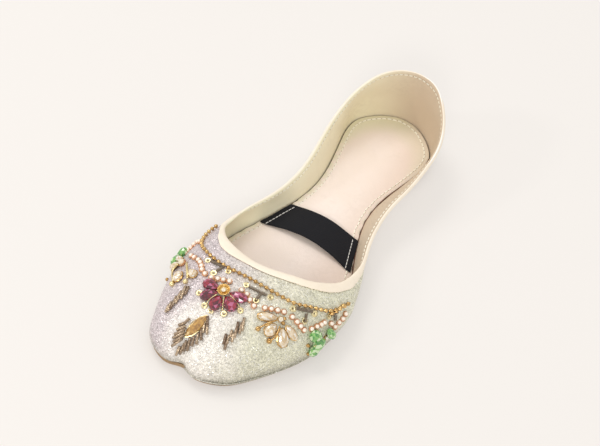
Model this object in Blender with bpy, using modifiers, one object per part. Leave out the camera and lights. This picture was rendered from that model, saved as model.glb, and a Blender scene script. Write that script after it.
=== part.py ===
"""Left mojari shoe with a beaded vamp, standing empty on its sole.

The upper is one hollow wall lofted between the outline of the sole and the
topline. Every other piece takes its place from that same surface.
Metres, +Z up, toe towards -Y, outer side of the foot towards +X.
"""

import math
from typing import NamedTuple

import bmesh
import bpy
import numpy as np

# Driving sizes
SHOE_LENGTH = 0.250
BALL_WIDTH = 0.096
WAIST_WIDTH = 0.044
HEEL_WIDTH = 0.062
THROAT_HEIGHT = 0.0370
SIDE_HEIGHT = 0.0235
BACK_HEIGHT = 0.0488
TOE_SWING = 0.0141

UPPER_WALL = 0.0018
VAMP_LAP = 0.0005
VALLEY_DEPTH = 0.0038
VALLEY_WIDTH = 0.0062

SOLE_THICKNESS = 0.0035
SOLE_SETBACK = 0.0008
SOLE_EDGE_ROUND = 0.0005
TOE_SPRING = 0.0020
WAIST_LIFT = 0.0014

INSOLE_THICKNESS = 0.0025
INSOLE_CROWN = 0.0012
INSOLE_EDGE_ROUND = 0.0006
INSOLE_CLEARANCE = 0.0005

BINDING_THICKNESS = 0.0008
BINDING_THROAT_LEG = 0.0040
BINDING_BACK_LEG = 0.0014
BINDING_INNER_LEG = 0.0014
BINDING_TAPER = 0.2
BINDING_EDGE = 0.6

LABEL_WIDTH = 0.0225
LABEL_THICKNESS = 0.0006
LABEL_ARCH = 0.0030
LABEL_REACH = 0.97

CHAIN_RADIUS = 0.0010
PEARL_RADIUS = 0.0012
CUP_RADIUS = 0.0031
CUP_HEIGHT = 0.0022
CUP_CROWN = 0.7
CENTRE_RADIUS = 0.0018
PETAL_THICKNESS = 0.0034
PETAL_TAPER = 0.3
STONE_LENGTH = 0.0145
STONE_WIDTH = 0.0052
STONE_THICKNESS = 0.0024
STONE_TIP = 0.45
SPRIG_RADIUS = 0.0015
SPRIG_TIP = 0.6
BRANCH_RADIUS = 0.0008
STRAND_STEP = 0.0034
SPRIG_STEP = 0.0040
BRANCH_STEP = 0.0045

GAP = 0.0003

# Places along the foot, as shares of the shoe length from the toe
SWING_START = 0.36
SWING_POWER = 1.2
SPRING_START = 0.15
WAIST_START = 0.43
WAIST_END = 0.74
LABEL_PLACE = 0.510
SPINE_START = 0.10
SPINE_END = 0.90

# The ring runs from the toe over the outer side, the heel and the inner side
VALLEY_REACH = 0.62
SEAM_ROW = 7.25
BINDING_FULL_ROW = 3.0
BINDING_FADE_ROW = 9.0


class Section(NamedTuple):
    """One row of the last, from the toe to the heel."""

    along: float  # place of the sole's edge, share of the shoe length
    width: float  # the named width that the half widths follow
    sole: float  # half width of the sole
    top_along: float  # place of the topline, share of the shoe length
    top_outer: float  # half width of the topline, outer side
    top_inner: float  # half width of the topline, inner side
    top_height: float  # height of the topline over the floor
    rise: float  # how high the wall stays upright, share of its height
    bulge: float  # how far it swells, share of its height
    reach: float  # how far it lies flat before the topline, share of its span
    crown: float  # its lift over the topline there, share of its height


SECTIONS = (
    Section(0.000, BALL_WIDTH, 0.000, 0.272, 0.000, 0.000, 1.000 * THROAT_HEIGHT, 0.55, 0.05, 0.55, 0.08),
    Section(0.002, BALL_WIDTH, 0.190, 0.274, 0.177, 0.190, 0.997 * THROAT_HEIGHT, 0.55, 0.05, 0.55, 0.08),
    Section(0.012, BALL_WIDTH, 0.370, 0.280, 0.354, 0.377, 0.985 * THROAT_HEIGHT, 0.55, 0.06, 0.54, 0.07),
    Section(0.036, BALL_WIDTH, 0.556, 0.289, 0.490, 0.530, 0.967 * THROAT_HEIGHT, 0.55, 0.08, 0.52, 0.06),
    Section(0.080, BALL_WIDTH, 0.700, 0.302, 0.596, 0.660, 0.940 * THROAT_HEIGHT, 0.55, 0.10, 0.48, 0.04),
    Section(0.140, BALL_WIDTH, 0.850, 0.324, 0.692, 0.775, 0.875 * THROAT_HEIGHT, 0.54, 0.13, 0.44, 0.01),
    Section(0.220, BALL_WIDTH, 0.975, 0.352, 0.780, 0.855, 0.785 * THROAT_HEIGHT, 0.50, 0.18, 0.40, -0.06),
    Section(0.320, BALL_WIDTH, 0.970, 0.392, 0.825, 0.862, 0.700 * THROAT_HEIGHT, 0.42, 0.22, 0.36, -0.16),
    Section(0.420, BALL_WIDTH, 0.846, 0.449, 0.815, 0.812, 0.985 * SIDE_HEIGHT, 0.38, 0.18, 0.34, -0.26),
    Section(0.520, WAIST_WIDTH, 1.386, 0.536, 1.530, 1.430, 0.970 * SIDE_HEIGHT, 0.36, 0.12, 0.34, -0.32),
    Section(0.624, WAIST_WIDTH, 1.040, 0.636, 1.460, 1.300, 1.060 * SIDE_HEIGHT, 0.36, 0.08, 0.34, -0.34),
    Section(0.728, HEEL_WIDTH, 0.771, 0.732, 1.128, 0.990, 0.616 * BACK_HEIGHT, 0.36, 0.07, 0.34, -0.34),
    Section(0.824, HEEL_WIDTH, 0.932, 0.824, 1.140, 1.000, 0.744 * BACK_HEIGHT, 0.36, 0.07, 0.34, -0.34),
    Section(0.904, HEEL_WIDTH, 0.980, 0.904, 0.967, 0.870, 0.871 * BACK_HEIGHT, 0.38, 0.08, 0.34, -0.34),
    Section(0.960, HEEL_WIDTH, 0.694, 0.955, 0.645, 0.598, 0.954 * BACK_HEIGHT, 0.38, 0.08, 0.34, -0.34),
    Section(0.991, HEEL_WIDTH, 0.339, 0.982, 0.340, 0.312, 0.992 * BACK_HEIGHT, 0.38, 0.08, 0.34, -0.34),
    Section(1.000, HEEL_WIDTH, 0.000, 0.992, 0.000, 0.000, 1.000 * BACK_HEIGHT, 0.38, 0.08, 0.34, -0.34),
)
HEEL_ROW = len(SECTIONS) - 1
RING_ROWS = 2 * HEEL_ROW

SAMPLES_PER_ROW = 3
WALL_STEPS = 10
LABEL_STEPS = 15
SEAM_RAMP = 0.02
SHARP_ANGLE = 40


class RingCurve:
    """A smooth closed curve through one value for each row of the ring."""

    def __init__(self, values):
        self.values = np.asarray(values, float)
        count = len(self.values)
        near = np.roll(np.eye(count), 1, axis=1)
        system = 4 * np.eye(count) + near + near.T
        bend = np.roll(self.values, 1, 0) - 2 * self.values + np.roll(self.values, -1, 0)
        self.second = np.linalg.solve(system, 6 * bend)

    def at(self, place):
        """Value at a place counted in rows from the toe."""
        place = np.mod(place, len(self.values))
        row = np.floor(place).astype(int) % len(self.values)
        after = (row + 1) % len(self.values)
        b = place - np.floor(place)
        a = 1 - b
        return (
            a * self.values[row]
            + b * self.values[after]
            + ((a**3 - a) * self.second[row] + (b**3 - b) * self.second[after]) / 6
        )


def around(outer_value, inner_value=None):
    """Closed curve of a section's value, the outer side first and then the inner side."""
    inner_value = inner_value or outer_value
    outer_side = [outer_value(section) for section in SECTIONS]
    inner_side = [inner_value(section) for section in SECTIONS[-2:0:-1]]
    return RingCurve(outer_side + inner_side)


SOLE_ACROSS = around(
    lambda row: row.sole * row.width / 2, lambda row: -row.sole * row.width / 2
)
SOLE_ALONG = around(lambda row: row.along * SHOE_LENGTH)
TOP_ACROSS = around(
    lambda row: row.top_outer * row.width / 2, lambda row: -row.top_inner * row.width / 2
)
TOP_ALONG = around(lambda row: row.top_along * SHOE_LENGTH)
TOP_HEIGHT = around(lambda row: row.top_height)
RISE = around(lambda row: row.rise)
BULGE = around(lambda row: row.bulge)
REACH = around(lambda row: row.reach)
CROWN = around(lambda row: row.crown)


def centreline(along):
    """Sideways place of the shoe's middle: the toe swings to the inner side."""
    start = SWING_START * SHOE_LENGTH
    share = np.clip((start - along) / start, 0, None)
    return -TOE_SWING * share**SWING_POWER


def sole_lift(along):
    """Height of the sole's underside: flat at ball and heel, sprung at toe and waist."""
    share = np.asarray(along) / SHOE_LENGTH
    toe = TOE_SPRING * np.clip(1 - share / SPRING_START, 0, None) ** 2
    turn = np.clip((share - WAIST_START) / (WAIST_END - WAIST_START), 0, 1)
    return toe + WAIST_LIFT * np.sin(math.pi * turn) ** 2


def sole_top(along):
    return sole_lift(along) + SOLE_THICKNESS


def bent(points):
    """Takes points from the straight last to the shoe, with its middle at the origin."""
    result = points.copy()
    result[..., 0] += centreline(points[..., 1])
    result[..., 1] -= SHOE_LENGTH / 2
    return result


def plan_outward(across, along, place):
    """Unit vector that points away from the shoe, at right angles to a plan curve."""
    step = 0.01
    run_x = across.at(place + step) - across.at(place - step)
    run_y = along.at(place + step) - along.at(place - step)
    length = np.hypot(run_x, run_y)
    return run_y / length, -run_x / length


def plain_wall(place, share):
    """Outer face of the last, without its valley and lap, in the straight last."""
    place, share = np.broadcast_arrays(np.asarray(place, float), np.asarray(share, float))
    foot = np.stack([SOLE_ACROSS.at(place), SOLE_ALONG.at(place)], -1)
    top = np.stack([TOP_ACROSS.at(place), TOP_ALONG.at(place)], -1)
    low = sole_top(foot[..., 1]) + GAP
    high = TOP_HEIGHT.at(place)
    tall = high - low
    out = np.stack(plan_outward(SOLE_ACROSS, SOLE_ALONG, place), -1)
    upright = foot + out * (BULGE.at(place) * tall)[..., None]
    laid = top + (foot - top) * REACH.at(place)[..., None]
    weights = (
        (1 - share) ** 3,
        3 * (1 - share) ** 2 * share,
        3 * (1 - share) * share**2,
        share**3,
    )
    plan = sum(w[..., None] * p for w, p in zip(weights, (foot, upright, laid, top)))
    heights = (low, low + RISE.at(place) * tall, high + CROWN.at(place) * tall, high)
    height = sum(w * z for w, z in zip(weights, heights))
    return np.concatenate([plan, height[..., None]], -1)


def plain_normal(place, share):
    """Unit normal of the plain wall, pointing out of the shoe."""
    step = 0.002
    place, share = np.broadcast_arrays(np.asarray(place, float), np.asarray(share, float))
    inside = np.clip(share, step, 1 - step)
    around_run = plain_wall(place + step, inside) - plain_wall(place - step, inside)
    up_run = plain_wall(place, inside + step) - plain_wall(place, inside - step)
    normal = np.cross(around_run, up_run)
    return normal / np.linalg.norm(normal, axis=-1, keepdims=True)


def row_distance(place):
    """Rows between a place and the toe, by the shorter way round."""
    return np.abs(np.mod(place + HEEL_ROW, RING_ROWS) - HEEL_ROW)


def valley(place, share):
    """Depth of the valley that runs up from the notch of the toe."""
    across = SOLE_ACROSS.at(place)
    near_toe = row_distance(place) < HEEL_ROW / 2
    fade = np.clip(1 - share / VALLEY_REACH, 0, None) ** 2
    return near_toe * VALLEY_DEPTH * np.exp(-((across / VALLEY_WIDTH) ** 2)) * fade


def lap(place):
    """Thickness that the vamp adds over the quarters, up to its side seams."""
    return VAMP_LAP * np.clip((SEAM_ROW - row_distance(place)) / SEAM_RAMP + 0.5, 0, 1)


def wall_point(place, share, height=0.0):
    """Point of the upper's outer face, raised off it by a height, on the shoe."""
    place, share = np.broadcast_arrays(np.asarray(place, float), np.asarray(share, float))
    off = lap(place) - valley(place, share) + height
    return bent(plain_wall(place, share) + plain_normal(place, share) * off[..., None])


def inner_point(place, share, depth=0.0):
    """Point of the upper's inner face, or deeper inside by a depth, on the straight last."""
    place, share = np.broadcast_arrays(np.asarray(place, float), np.asarray(share, float))
    off = UPPER_WALL + valley(place, share) + depth
    return plain_wall(place, share) - plain_normal(place, share) * off[..., None]


def ring_places():
    """Places of the mesh's columns, with a close pair at each side seam."""
    places = list(np.arange(RING_ROWS * SAMPLES_PER_ROW) / SAMPLES_PER_ROW)
    for seam in (SEAM_ROW, RING_ROWS - SEAM_ROW):
        nearest = min(range(len(places)), key=lambda i: abs(places[i] - seam))
        places[nearest] = seam - SEAM_RAMP
        places.append(seam + SEAM_RAMP)
    return np.array(sorted(places))


PLACES = ring_places()


def finish(name, colour, roughness, metallic=0.0, transmission=0.0):
    material = bpy.data.materials.new(name)
    material.use_nodes = True
    shader = material.node_tree.nodes["Principled BSDF"]
    shader.inputs["Base Color"].default_value = (*colour, 1.0)
    shader.inputs["Roughness"].default_value = roughness
    shader.inputs["Metallic"].default_value = metallic
    shader.inputs["Transmission Weight"].default_value = transmission
    return material


def new_collection(name):
    collection = bpy.data.collections.new(name)
    bpy.context.scene.collection.children.link(collection)
    return collection


def loft(name, rings, material, wrapped=False):
    """Solid between closed rings: wrapped back to the first, or closed on its end rings."""
    mesh = bpy.data.meshes.new(name)
    work = bmesh.new()
    rows = [[work.verts.new(point) for point in ring] for ring in rings]
    pairs = list(zip(rows, rows[1:])) + ([(rows[-1], rows[0])] if wrapped else [])
    for low, high in pairs:
        for i in range(len(low)):
            j = (i + 1) % len(low)
            work.faces.new((low[i], low[j], high[j], high[i]))
    bmesh.ops.remove_doubles(work, verts=work.verts, dist=1e-6)
    bmesh.ops.recalc_face_normals(work, faces=work.faces)
    work.to_mesh(mesh)
    work.free()
    mesh.shade_smooth()
    mesh.set_sharp_from_angle(angle=math.radians(SHARP_ANGLE))
    part = bpy.data.objects.new(name, mesh)
    part.data.materials.append(material)
    SHOE.objects.link(part)
    return part


def spine():
    """The middle line that a flat piece closes on, for each column of the ring."""
    along = np.clip(
        SOLE_ALONG.at(PLACES), SPINE_START * SHOE_LENGTH, SPINE_END * SHOE_LENGTH
    )
    return np.stack([np.zeros_like(along), along], -1)


def drawn_in(outline, distance):
    """Plan outline moved inwards by a distance, at right angles to itself."""
    run = np.roll(outline, -1, 0) - np.roll(outline, 1, 0)
    length = np.linalg.norm(run, axis=1, keepdims=True)
    out = np.stack([run[:, 1], -run[:, 0]], -1) / length
    return outline - out * distance


def sole_outline():
    """Outline of the upper's foot with its notch at the toe, in the straight last."""
    out = np.stack(plan_outward(SOLE_ACROSS, SOLE_ALONG, PLACES), -1)
    foot = np.stack([SOLE_ACROSS.at(PLACES), SOLE_ALONG.at(PLACES)], -1)
    return foot - out * valley(PLACES, 0.0)[:, None]


def build_outsole():
    outline = drawn_in(sole_outline(), SOLE_SETBACK)
    lower = drawn_in(outline, SOLE_EDGE_ROUND)
    middle = spine()

    def level(edge, share, height):
        plan = middle + (edge - middle) * share
        return bent(np.column_stack([plan, sole_lift(plan[:, 1]) + height]))

    top_shares = (0.0, 0.5, 0.9)
    rings = [level(outline, share, SOLE_THICKNESS) for share in top_shares]
    rings.append(level(outline, 1.0, SOLE_THICKNESS))
    rings.append(level(outline, 1.0, SOLE_EDGE_ROUND))
    rings.append(level(lower, 1.0, 0.0))
    rings += [level(outline, share, 0.0) for share in top_shares[::-1]]
    return loft("outsole", rings, LEATHER_SOLE)


def build_upper():
    shares = np.linspace(0, 1, WALL_STEPS + 1)
    outer = [wall_point(PLACES, share) for share in shares]
    inner = [bent(inner_point(PLACES, share)) for share in shares]
    foot_height = sole_top(SOLE_ALONG.at(PLACES)) + GAP
    outer[0][:, 2] = foot_height
    inner[0][:, 2] = foot_height
    return loft("upper", outer + inner[::-1], CREAM_LEATHER, wrapped=True)


def inner_outline(height):
    """Plan outline of the upper's inner face at a height over the sole's top."""
    shares = np.linspace(0, 0.4, 41)
    face = inner_point(PLACES[:, None], shares[None, :])
    over = face[..., 2] - (sole_top(SOLE_ALONG.at(PLACES)) + GAP)[:, None]
    columns = [
        [np.interp(height, over[i], face[i, :, axis]) for axis in (0, 1)]
        for i in range(len(PLACES))
    ]
    return np.array(columns)


def insole_top(share):
    """Height of the insole's top over the sole's top, from its middle to its edge."""
    return GAP + INSOLE_THICKNESS + INSOLE_CROWN * (1 - share**2)


def build_insole():
    low = drawn_in(inner_outline(0.0), INSOLE_CLEARANCE)
    shoulder = drawn_in(inner_outline(INSOLE_THICKNESS), INSOLE_CLEARANCE)
    edge = drawn_in(inner_outline(INSOLE_THICKNESS), INSOLE_CLEARANCE + INSOLE_EDGE_ROUND)
    middle = spine()

    def level(plan_edge, share, height):
        plan = middle + (plan_edge - middle) * share
        return bent(np.column_stack([plan, sole_top(plan[:, 1]) + height]))

    rings = [level(low, share, GAP) for share in (0.0, 0.6, 1.0)]
    rings.append(level(shoulder, 1.0, GAP + INSOLE_THICKNESS - INSOLE_EDGE_ROUND))
    rings += [level(edge, share, insole_top(share)) for share in (1.0, 0.85, 0.55, 0.0)]
    return loft("insole", rings, PEACH_LEATHER)


def share_below_top(place, distance):
    """Wall share of the point that lies a distance down the outer face from its top."""
    shares = np.linspace(1, 0, 201)
    face = plain_wall(np.full_like(shares, place), shares)
    run = np.concatenate([[0], np.cumsum(np.linalg.norm(np.diff(face, axis=0), axis=1))])
    return float(np.interp(distance, run, shares))


def past_top(place, distance):
    """Vector that carries the wall on past its top edge."""
    step = 0.01
    run = plain_wall(place, 1.0) - plain_wall(place, 1 - step)
    return run / np.linalg.norm(run) * distance


def binding_leg(place):
    """Length of the binding on the outer face: long at the throat, short at the back."""
    turn = (row_distance(place) - BINDING_FULL_ROW) / (BINDING_FADE_ROW - BINDING_FULL_ROW)
    share = np.clip(1 - turn, 0, 1)
    blend = share * share * (3 - 2 * share)
    return BINDING_BACK_LEG + (BINDING_THROAT_LEG - BINDING_BACK_LEG) * blend


def build_binding():
    skin = BINDING_THICKNESS
    inside = -(UPPER_WALL + GAP)
    columns = []
    for place in PLACES:
        leg = binding_leg(place)
        outer = lap(place)
        # Each point: distance below the top edge, height off the outer face
        profile = (
            (leg, outer + GAP),
            (leg, outer + GAP + BINDING_EDGE * skin),
            ((1 - BINDING_TAPER) * leg, outer + GAP + skin),
            (0.0, outer + GAP + skin),
            (-(GAP + skin), (outer + inside) / 2),
            (0.0, inside - skin),
            (BINDING_INNER_LEG, inside - skin),
            (BINDING_INNER_LEG, inside),
            (-GAP, inside),
            (-GAP, outer + GAP),
        )
        column = []
        for below, height in profile:
            share = share_below_top(place, max(below, 0))
            point = plain_wall(place, share) + plain_normal(place, share) * height
            column.append(point + past_top(place, max(-below, 0)))
        columns.append(column)
    rings = bent(np.array(columns).transpose(1, 0, 2))
    return loft("topline_binding", rings, CREAM_BINDING, wrapped=True)


def build_label():
    """Woven band sewn across the insole at its two ends, a little slack between them."""
    edge = drawn_in(inner_outline(INSOLE_THICKNESS), INSOLE_CLEARANCE + INSOLE_EDGE_ROUND)
    half = HEEL_ROW * SAMPLES_PER_ROW + 1
    outer_side = edge[1:half]
    inner_side = edge[half:][::-1]
    mesh = bpy.data.meshes.new("label_band")
    work = bmesh.new()
    rows = []
    middle = LABEL_PLACE * SHOE_LENGTH
    for along in np.linspace(middle - LABEL_WIDTH / 2, middle + LABEL_WIDTH / 2, 5):
        right = np.interp(along, outer_side[:, 1], outer_side[:, 0])
        left = np.interp(along, inner_side[:, 1], inner_side[:, 0])
        row = []
        for place in np.linspace(-1, 1, LABEL_STEPS):
            share = LABEL_REACH * place
            across = share * (right if share > 0 else -left)
            height = sole_top(along) + insole_top(share) + GAP
            height += LABEL_ARCH * (1 - place**2) ** 2
            row.append((across, along, height))
        rows.append([work.verts.new(point) for point in bent(np.array(row))])
    for low, high in zip(rows, rows[1:]):
        for i in range(len(low) - 1):
            work.faces.new((low[i], low[i + 1], high[i + 1], high[i]))
    work.to_mesh(mesh)
    work.free()
    band = bpy.data.objects.new("label_band", mesh)
    band.data.materials.append(BLACK_RIBBON)
    thick = band.modifiers.new("thickness", "SOLIDIFY")
    thick.thickness = LABEL_THICKNESS
    thick.offset = 1.0
    SHOE.objects.link(band)
    return band


class Petal(NamedTuple):
    """One bead of a flower, laid out from the flower's middle."""

    turn: float  # direction in degrees, 0 away from the middle line and -90 to the toe
    reach: float  # distance of its middle from the flower's middle
    length: float
    width: float


RED_PETALS = (
    Petal(-172, 0.0084, 0.0092, 0.0058),
    Petal(-129, 0.0084, 0.0092, 0.0058),
    Petal(-86, 0.0084, 0.0092, 0.0058),
    Petal(-43, 0.0084, 0.0092, 0.0058),
    Petal(0, 0.0086, 0.0092, 0.0058),
)
CHAMPAGNE_PETALS = (
    Petal(-176, 0.0074, 0.0094, 0.0046),
    Petal(-122, 0.0066, 0.0078, 0.0070),
    Petal(-60, 0.0074, 0.0092, 0.0046),
    Petal(-22, 0.0076, 0.0092, 0.0046),
)
GREEN_PETALS = (
    Petal(-178, 0.0062, 0.0074, 0.0056),
    Petal(-120, 0.0064, 0.0076, 0.0058),
    Petal(-62, 0.0060, 0.0070, 0.0054),
    Petal(2, 0.0056, 0.0068, 0.0054),
)

class Spot(NamedTuple):
    """Place of a bead or flower on the vamp."""

    row: float
    share: float  # up the wall
    turn: float  # in degrees, on top of the turns of its petals


RED_SPOT = Spot(-0.80, 0.742, 0)
CHAMPAGNE_SPOTS = {"outer": Spot(3.55, 0.648, 0), "inner": Spot(-4.85, 0.545, -14)}
GREEN_SPOTS = {"outer": Spot(6.10, 0.322, 0), "inner": Spot(-6.35, 0.330, 0)}
STONE_SPOT = Spot(-0.42, 0.470, 92)

# Routes over the vamp, each point a row and a wall share
CHAIN_ROUTE = (
    (-6.50, 0.750), (-5.80, 0.725), (-5.10, 0.735), (-4.00, 0.800), (-3.10, 0.834),
    (-1.80, 0.864), (-0.50, 0.884), (0.50, 0.886), (1.60, 0.876), (2.60, 0.855),
    (3.60, 0.815), (4.50, 0.782), (5.20, 0.735), (5.90, 0.675), (6.70, 0.645),
)
GARLAND_ROUTE = (
    (-6.75, 0.540), (-6.20, 0.540), (-5.75, 0.590), (-5.20, 0.680), (-4.60, 0.715),
    (-4.00, 0.715), (-3.30, 0.722), (-2.70, 0.728), (-2.30, 0.745), (-1.80, 0.778),
    (-1.20, 0.803), (-0.40, 0.812), (0.15, 0.808), (0.80, 0.778), (1.40, 0.765),
    (2.00, 0.772), (2.60, 0.782), (3.20, 0.768), (3.85, 0.728), (4.30, 0.672),
    (4.75, 0.595), (5.10, 0.548), (5.50, 0.545), (5.85, 0.535), (6.20, 0.480),
    (6.50, 0.455), (6.75, 0.500),
)
LEAF_ROUTES = {
    "outer": ((0.42, 0.535), (0.42, 0.430), (0.16, 0.320), (-0.18, 0.235)),
    "inner": ((-1.24, 0.500), (-1.22, 0.400), (-1.02, 0.300), (-0.86, 0.245)),
}
SPRIG_ROUTES = {
    "outer": ((1.50, 0.640), (1.62, 0.530), (1.80, 0.410)),
    "inner": ((-2.60, 0.610), (-2.60, 0.510), (-2.60, 0.410)),
}
BRANCH_ROUTES = {
    "1": ((-2.85, 0.795), (-1.85, 0.820)),
    "2": ((0.30, 0.838), (1.45, 0.832)),
    "3": ((3.60, 0.768), (4.60, 0.722)),
    "4": ((6.10, 0.580), (6.50, 0.570)),
}


def route_points(route, spacing, height):
    """Points a set distance apart on a smooth line over the vamp, raised by a height."""
    knots = np.array(route)
    rows = [2 * knots[0] - knots[1], *knots, 2 * knots[-1] - knots[-2]]
    fine = []
    for before, start, end, after in zip(rows, rows[1:], rows[2:], rows[3:]):
        for share in np.linspace(0, 1, 12, endpoint=False):
            fine.append(
                start
                + 0.5 * share * (end - before)
                + share**2 * (before - 2.5 * start + 2 * end - 0.5 * after)
                + 0.5 * share**3 * (3 * start - 3 * end + after - before)
            )
    fine.append(knots[-1])
    places = np.array(fine)
    points = wall_point(places[:, 0], places[:, 1], height)
    run = np.concatenate([[0], np.cumsum(np.linalg.norm(np.diff(points, axis=0), axis=1))])
    even = np.linspace(0, run[-1], max(3, round(run[-1] / spacing) + 1))
    return np.column_stack([np.interp(even, run, points[:, axis]) for axis in range(3)])


def build_strand(name, route, radius, spacing, material, tapered=False):
    """Round strand that follows a route just clear of the vamp."""
    points = route_points(route, spacing, radius + GAP)
    curve = bpy.data.curves.new(name, "CURVE")
    curve.dimensions = "3D"
    curve.bevel_depth = radius
    curve.bevel_resolution = 1
    curve.use_fill_caps = True
    spline = curve.splines.new("POLY")
    spline.points.add(len(points) - 1)
    for i, point in enumerate(points):
        spline.points[i].co = (*point, 1.0)
        share = i / (len(points) - 1)
        swell = math.sin(math.pi * share) if tapered else 1.0
        spline.points[i].radius = SPRIG_TIP + (1 - SPRIG_TIP) * swell
    strand = bpy.data.objects.new(name, curve)
    strand.data.materials.append(material)
    SHOE.objects.link(strand)
    return strand


def vamp_frame(place, share):
    """Tangents of the vamp at a point: away from the toe's row, and up to the topline."""
    step = 0.01
    normal = plain_normal(place, share)
    up = plain_wall(place, share + step) - plain_wall(place, share - step)
    up -= normal * (up @ normal)
    up /= np.linalg.norm(up)
    return np.cross(up, normal), up, normal


def moved(place, share, away, up):
    """Row and wall share of the point that lies a distance away and up from another."""
    step = 0.01
    side_run, up_run, _ = vamp_frame(place, share)
    target = side_run * away + up_run * up
    by_row = (plain_wall(place + step, share) - plain_wall(place - step, share)) / (2 * step)
    by_share = (plain_wall(place, share + step) - plain_wall(place, share - step)) / (2 * step)
    change, *_ = np.linalg.lstsq(np.column_stack([by_row, by_share]), target, rcond=None)
    return place + change[0], share + change[1]


def seated(name, work, spot, height, material):
    """Places a bead's mesh on the vamp, its length along the spot's turn."""
    side_run, up_run, normal = vamp_frame(spot.row, spot.share)
    angle = math.radians(spot.turn)
    long_run = side_run * math.cos(angle) + up_run * math.sin(angle)
    wide_run = np.cross(normal, long_run)
    seat = wall_point(spot.row, spot.share, height)
    for vertex in work.verts:
        x, y, z = vertex.co
        vertex.co = seat + long_run * x + wide_run * y + normal * z
    mesh = bpy.data.meshes.new(name)
    work.to_mesh(mesh)
    work.free()
    bead = bpy.data.objects.new(name, mesh)
    bead.data.materials.append(material)
    SHOE.objects.link(bead)
    return bead


def build_petal(name, petal, spot, turn, material):
    """Faceted drop: a ball drawn out to its length and narrowed towards the middle."""
    angle = math.radians(turn)
    row, share = moved(
        spot.row, spot.share, petal.reach * math.cos(angle), petal.reach * math.sin(angle)
    )
    work = bmesh.new()
    bmesh.ops.create_uvsphere(work, u_segments=8, v_segments=5, radius=1.0)
    for vertex in work.verts:
        x, y, z = vertex.co
        wide = 1 + PETAL_TAPER * x
        vertex.co = (
            x * petal.length / 2,
            y * wide * petal.width / 2,
            z * wide / (1 + PETAL_TAPER) * PETAL_THICKNESS / 2,
        )
    return seated(name, work, Spot(row, share, turn), PETAL_THICKNESS / 2 + GAP, material)


def build_centre(name, spot, radius, height):
    """Low turned cup with a flat foot and a narrower crown."""
    work = bmesh.new()
    bmesh.ops.create_cone(
        work,
        cap_ends=True,
        segments=10,
        radius1=radius,
        radius2=radius * CUP_CROWN,
        depth=height,
    )
    return seated(name, work, spot, height / 2 + GAP, GOLD)


def build_flower(kind, spot, petals, cup, glass, mirrored=False):
    """Flower of petals round a gold cup: the mirrored one turns its petals the other way."""
    build_centre(f"centre_{kind}", spot, *cup)
    for number, petal in enumerate(petals, 1):
        turn = (180 - petal.turn if mirrored else petal.turn) + spot.turn
        build_petal(f"petal_{kind}_{number}", petal, spot, turn, glass)


def build_stone():
    """Marquise stone of the leaf: a lens with pointed ends."""
    work = bmesh.new()
    bmesh.ops.create_uvsphere(work, u_segments=10, v_segments=5, radius=1.0)
    for vertex in work.verts:
        x, y, z = vertex.co
        slim = math.sqrt(max(0.0, 1 - abs(x)))
        vertex.co = (
            x * STONE_LENGTH / 2,
            y * (STONE_TIP + (1 - STONE_TIP) * slim) * STONE_WIDTH / 2,
            z * STONE_THICKNESS / 2,
        )
    return seated("leaf_stone", work, STONE_SPOT, STONE_THICKNESS / 2 + GAP, AMBER_GLASS)


def stand_on_origin():
    """Carries the whole shoe to the origin by the middle of its box's floor."""
    root = bpy.data.objects.new("shoe_root", None)
    SHOE.objects.link(root)
    bpy.context.view_layer.update()
    graph = bpy.context.evaluated_depsgraph_get()
    points = []
    for piece in SHOE.objects:
        if piece.type != "EMPTY":
            evaluated = piece.evaluated_get(graph)
            points += [list(vertex.co) for vertex in evaluated.to_mesh().vertices]
            evaluated.to_mesh_clear()
            piece.parent = root
    low, high = np.min(points, axis=0), np.max(points, axis=0)
    root.location = (-(low[0] + high[0]) / 2, -(low[1] + high[1]) / 2, -low[2])


for old in list(bpy.data.objects):
    bpy.data.objects.remove(old, do_unlink=True)

SHOE = new_collection("mojari_shoe")
LEATHER_SOLE = finish("sole_leather", (0.36, 0.20, 0.10), 0.6)
CREAM_LEATHER = finish("cream_leather", (0.78, 0.72, 0.55), 0.45)
CREAM_BINDING = finish("cream_binding", (0.86, 0.78, 0.62), 0.5)
PEACH_LEATHER = finish("peach_leather", (0.86, 0.70, 0.58), 0.55)
BLACK_RIBBON = finish("black_ribbon", (0.02, 0.02, 0.025), 0.7)
GOLD = finish("gold_metal", (0.72, 0.50, 0.18), 0.3, metallic=1.0)
PEARL = finish("peach_pearl", (0.85, 0.62, 0.46), 0.25)
RED_GLASS = finish("red_crystal", (0.35, 0.01, 0.08), 0.1, transmission=0.5)
CHAMPAGNE_GLASS = finish("champagne_crystal", (0.85, 0.66, 0.36), 0.1, transmission=0.5)
GREEN_GLASS = finish("green_crystal", (0.25, 0.62, 0.28), 0.1, transmission=0.5)
AMBER_GLASS = finish("amber_stone", (0.62, 0.36, 0.06), 0.2)
BROWN_BEAD = finish("brown_bugle_bead", (0.24, 0.16, 0.11), 0.25, metallic=0.4)

build_outsole()
build_insole()
build_upper()
build_binding()
build_label()

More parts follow.
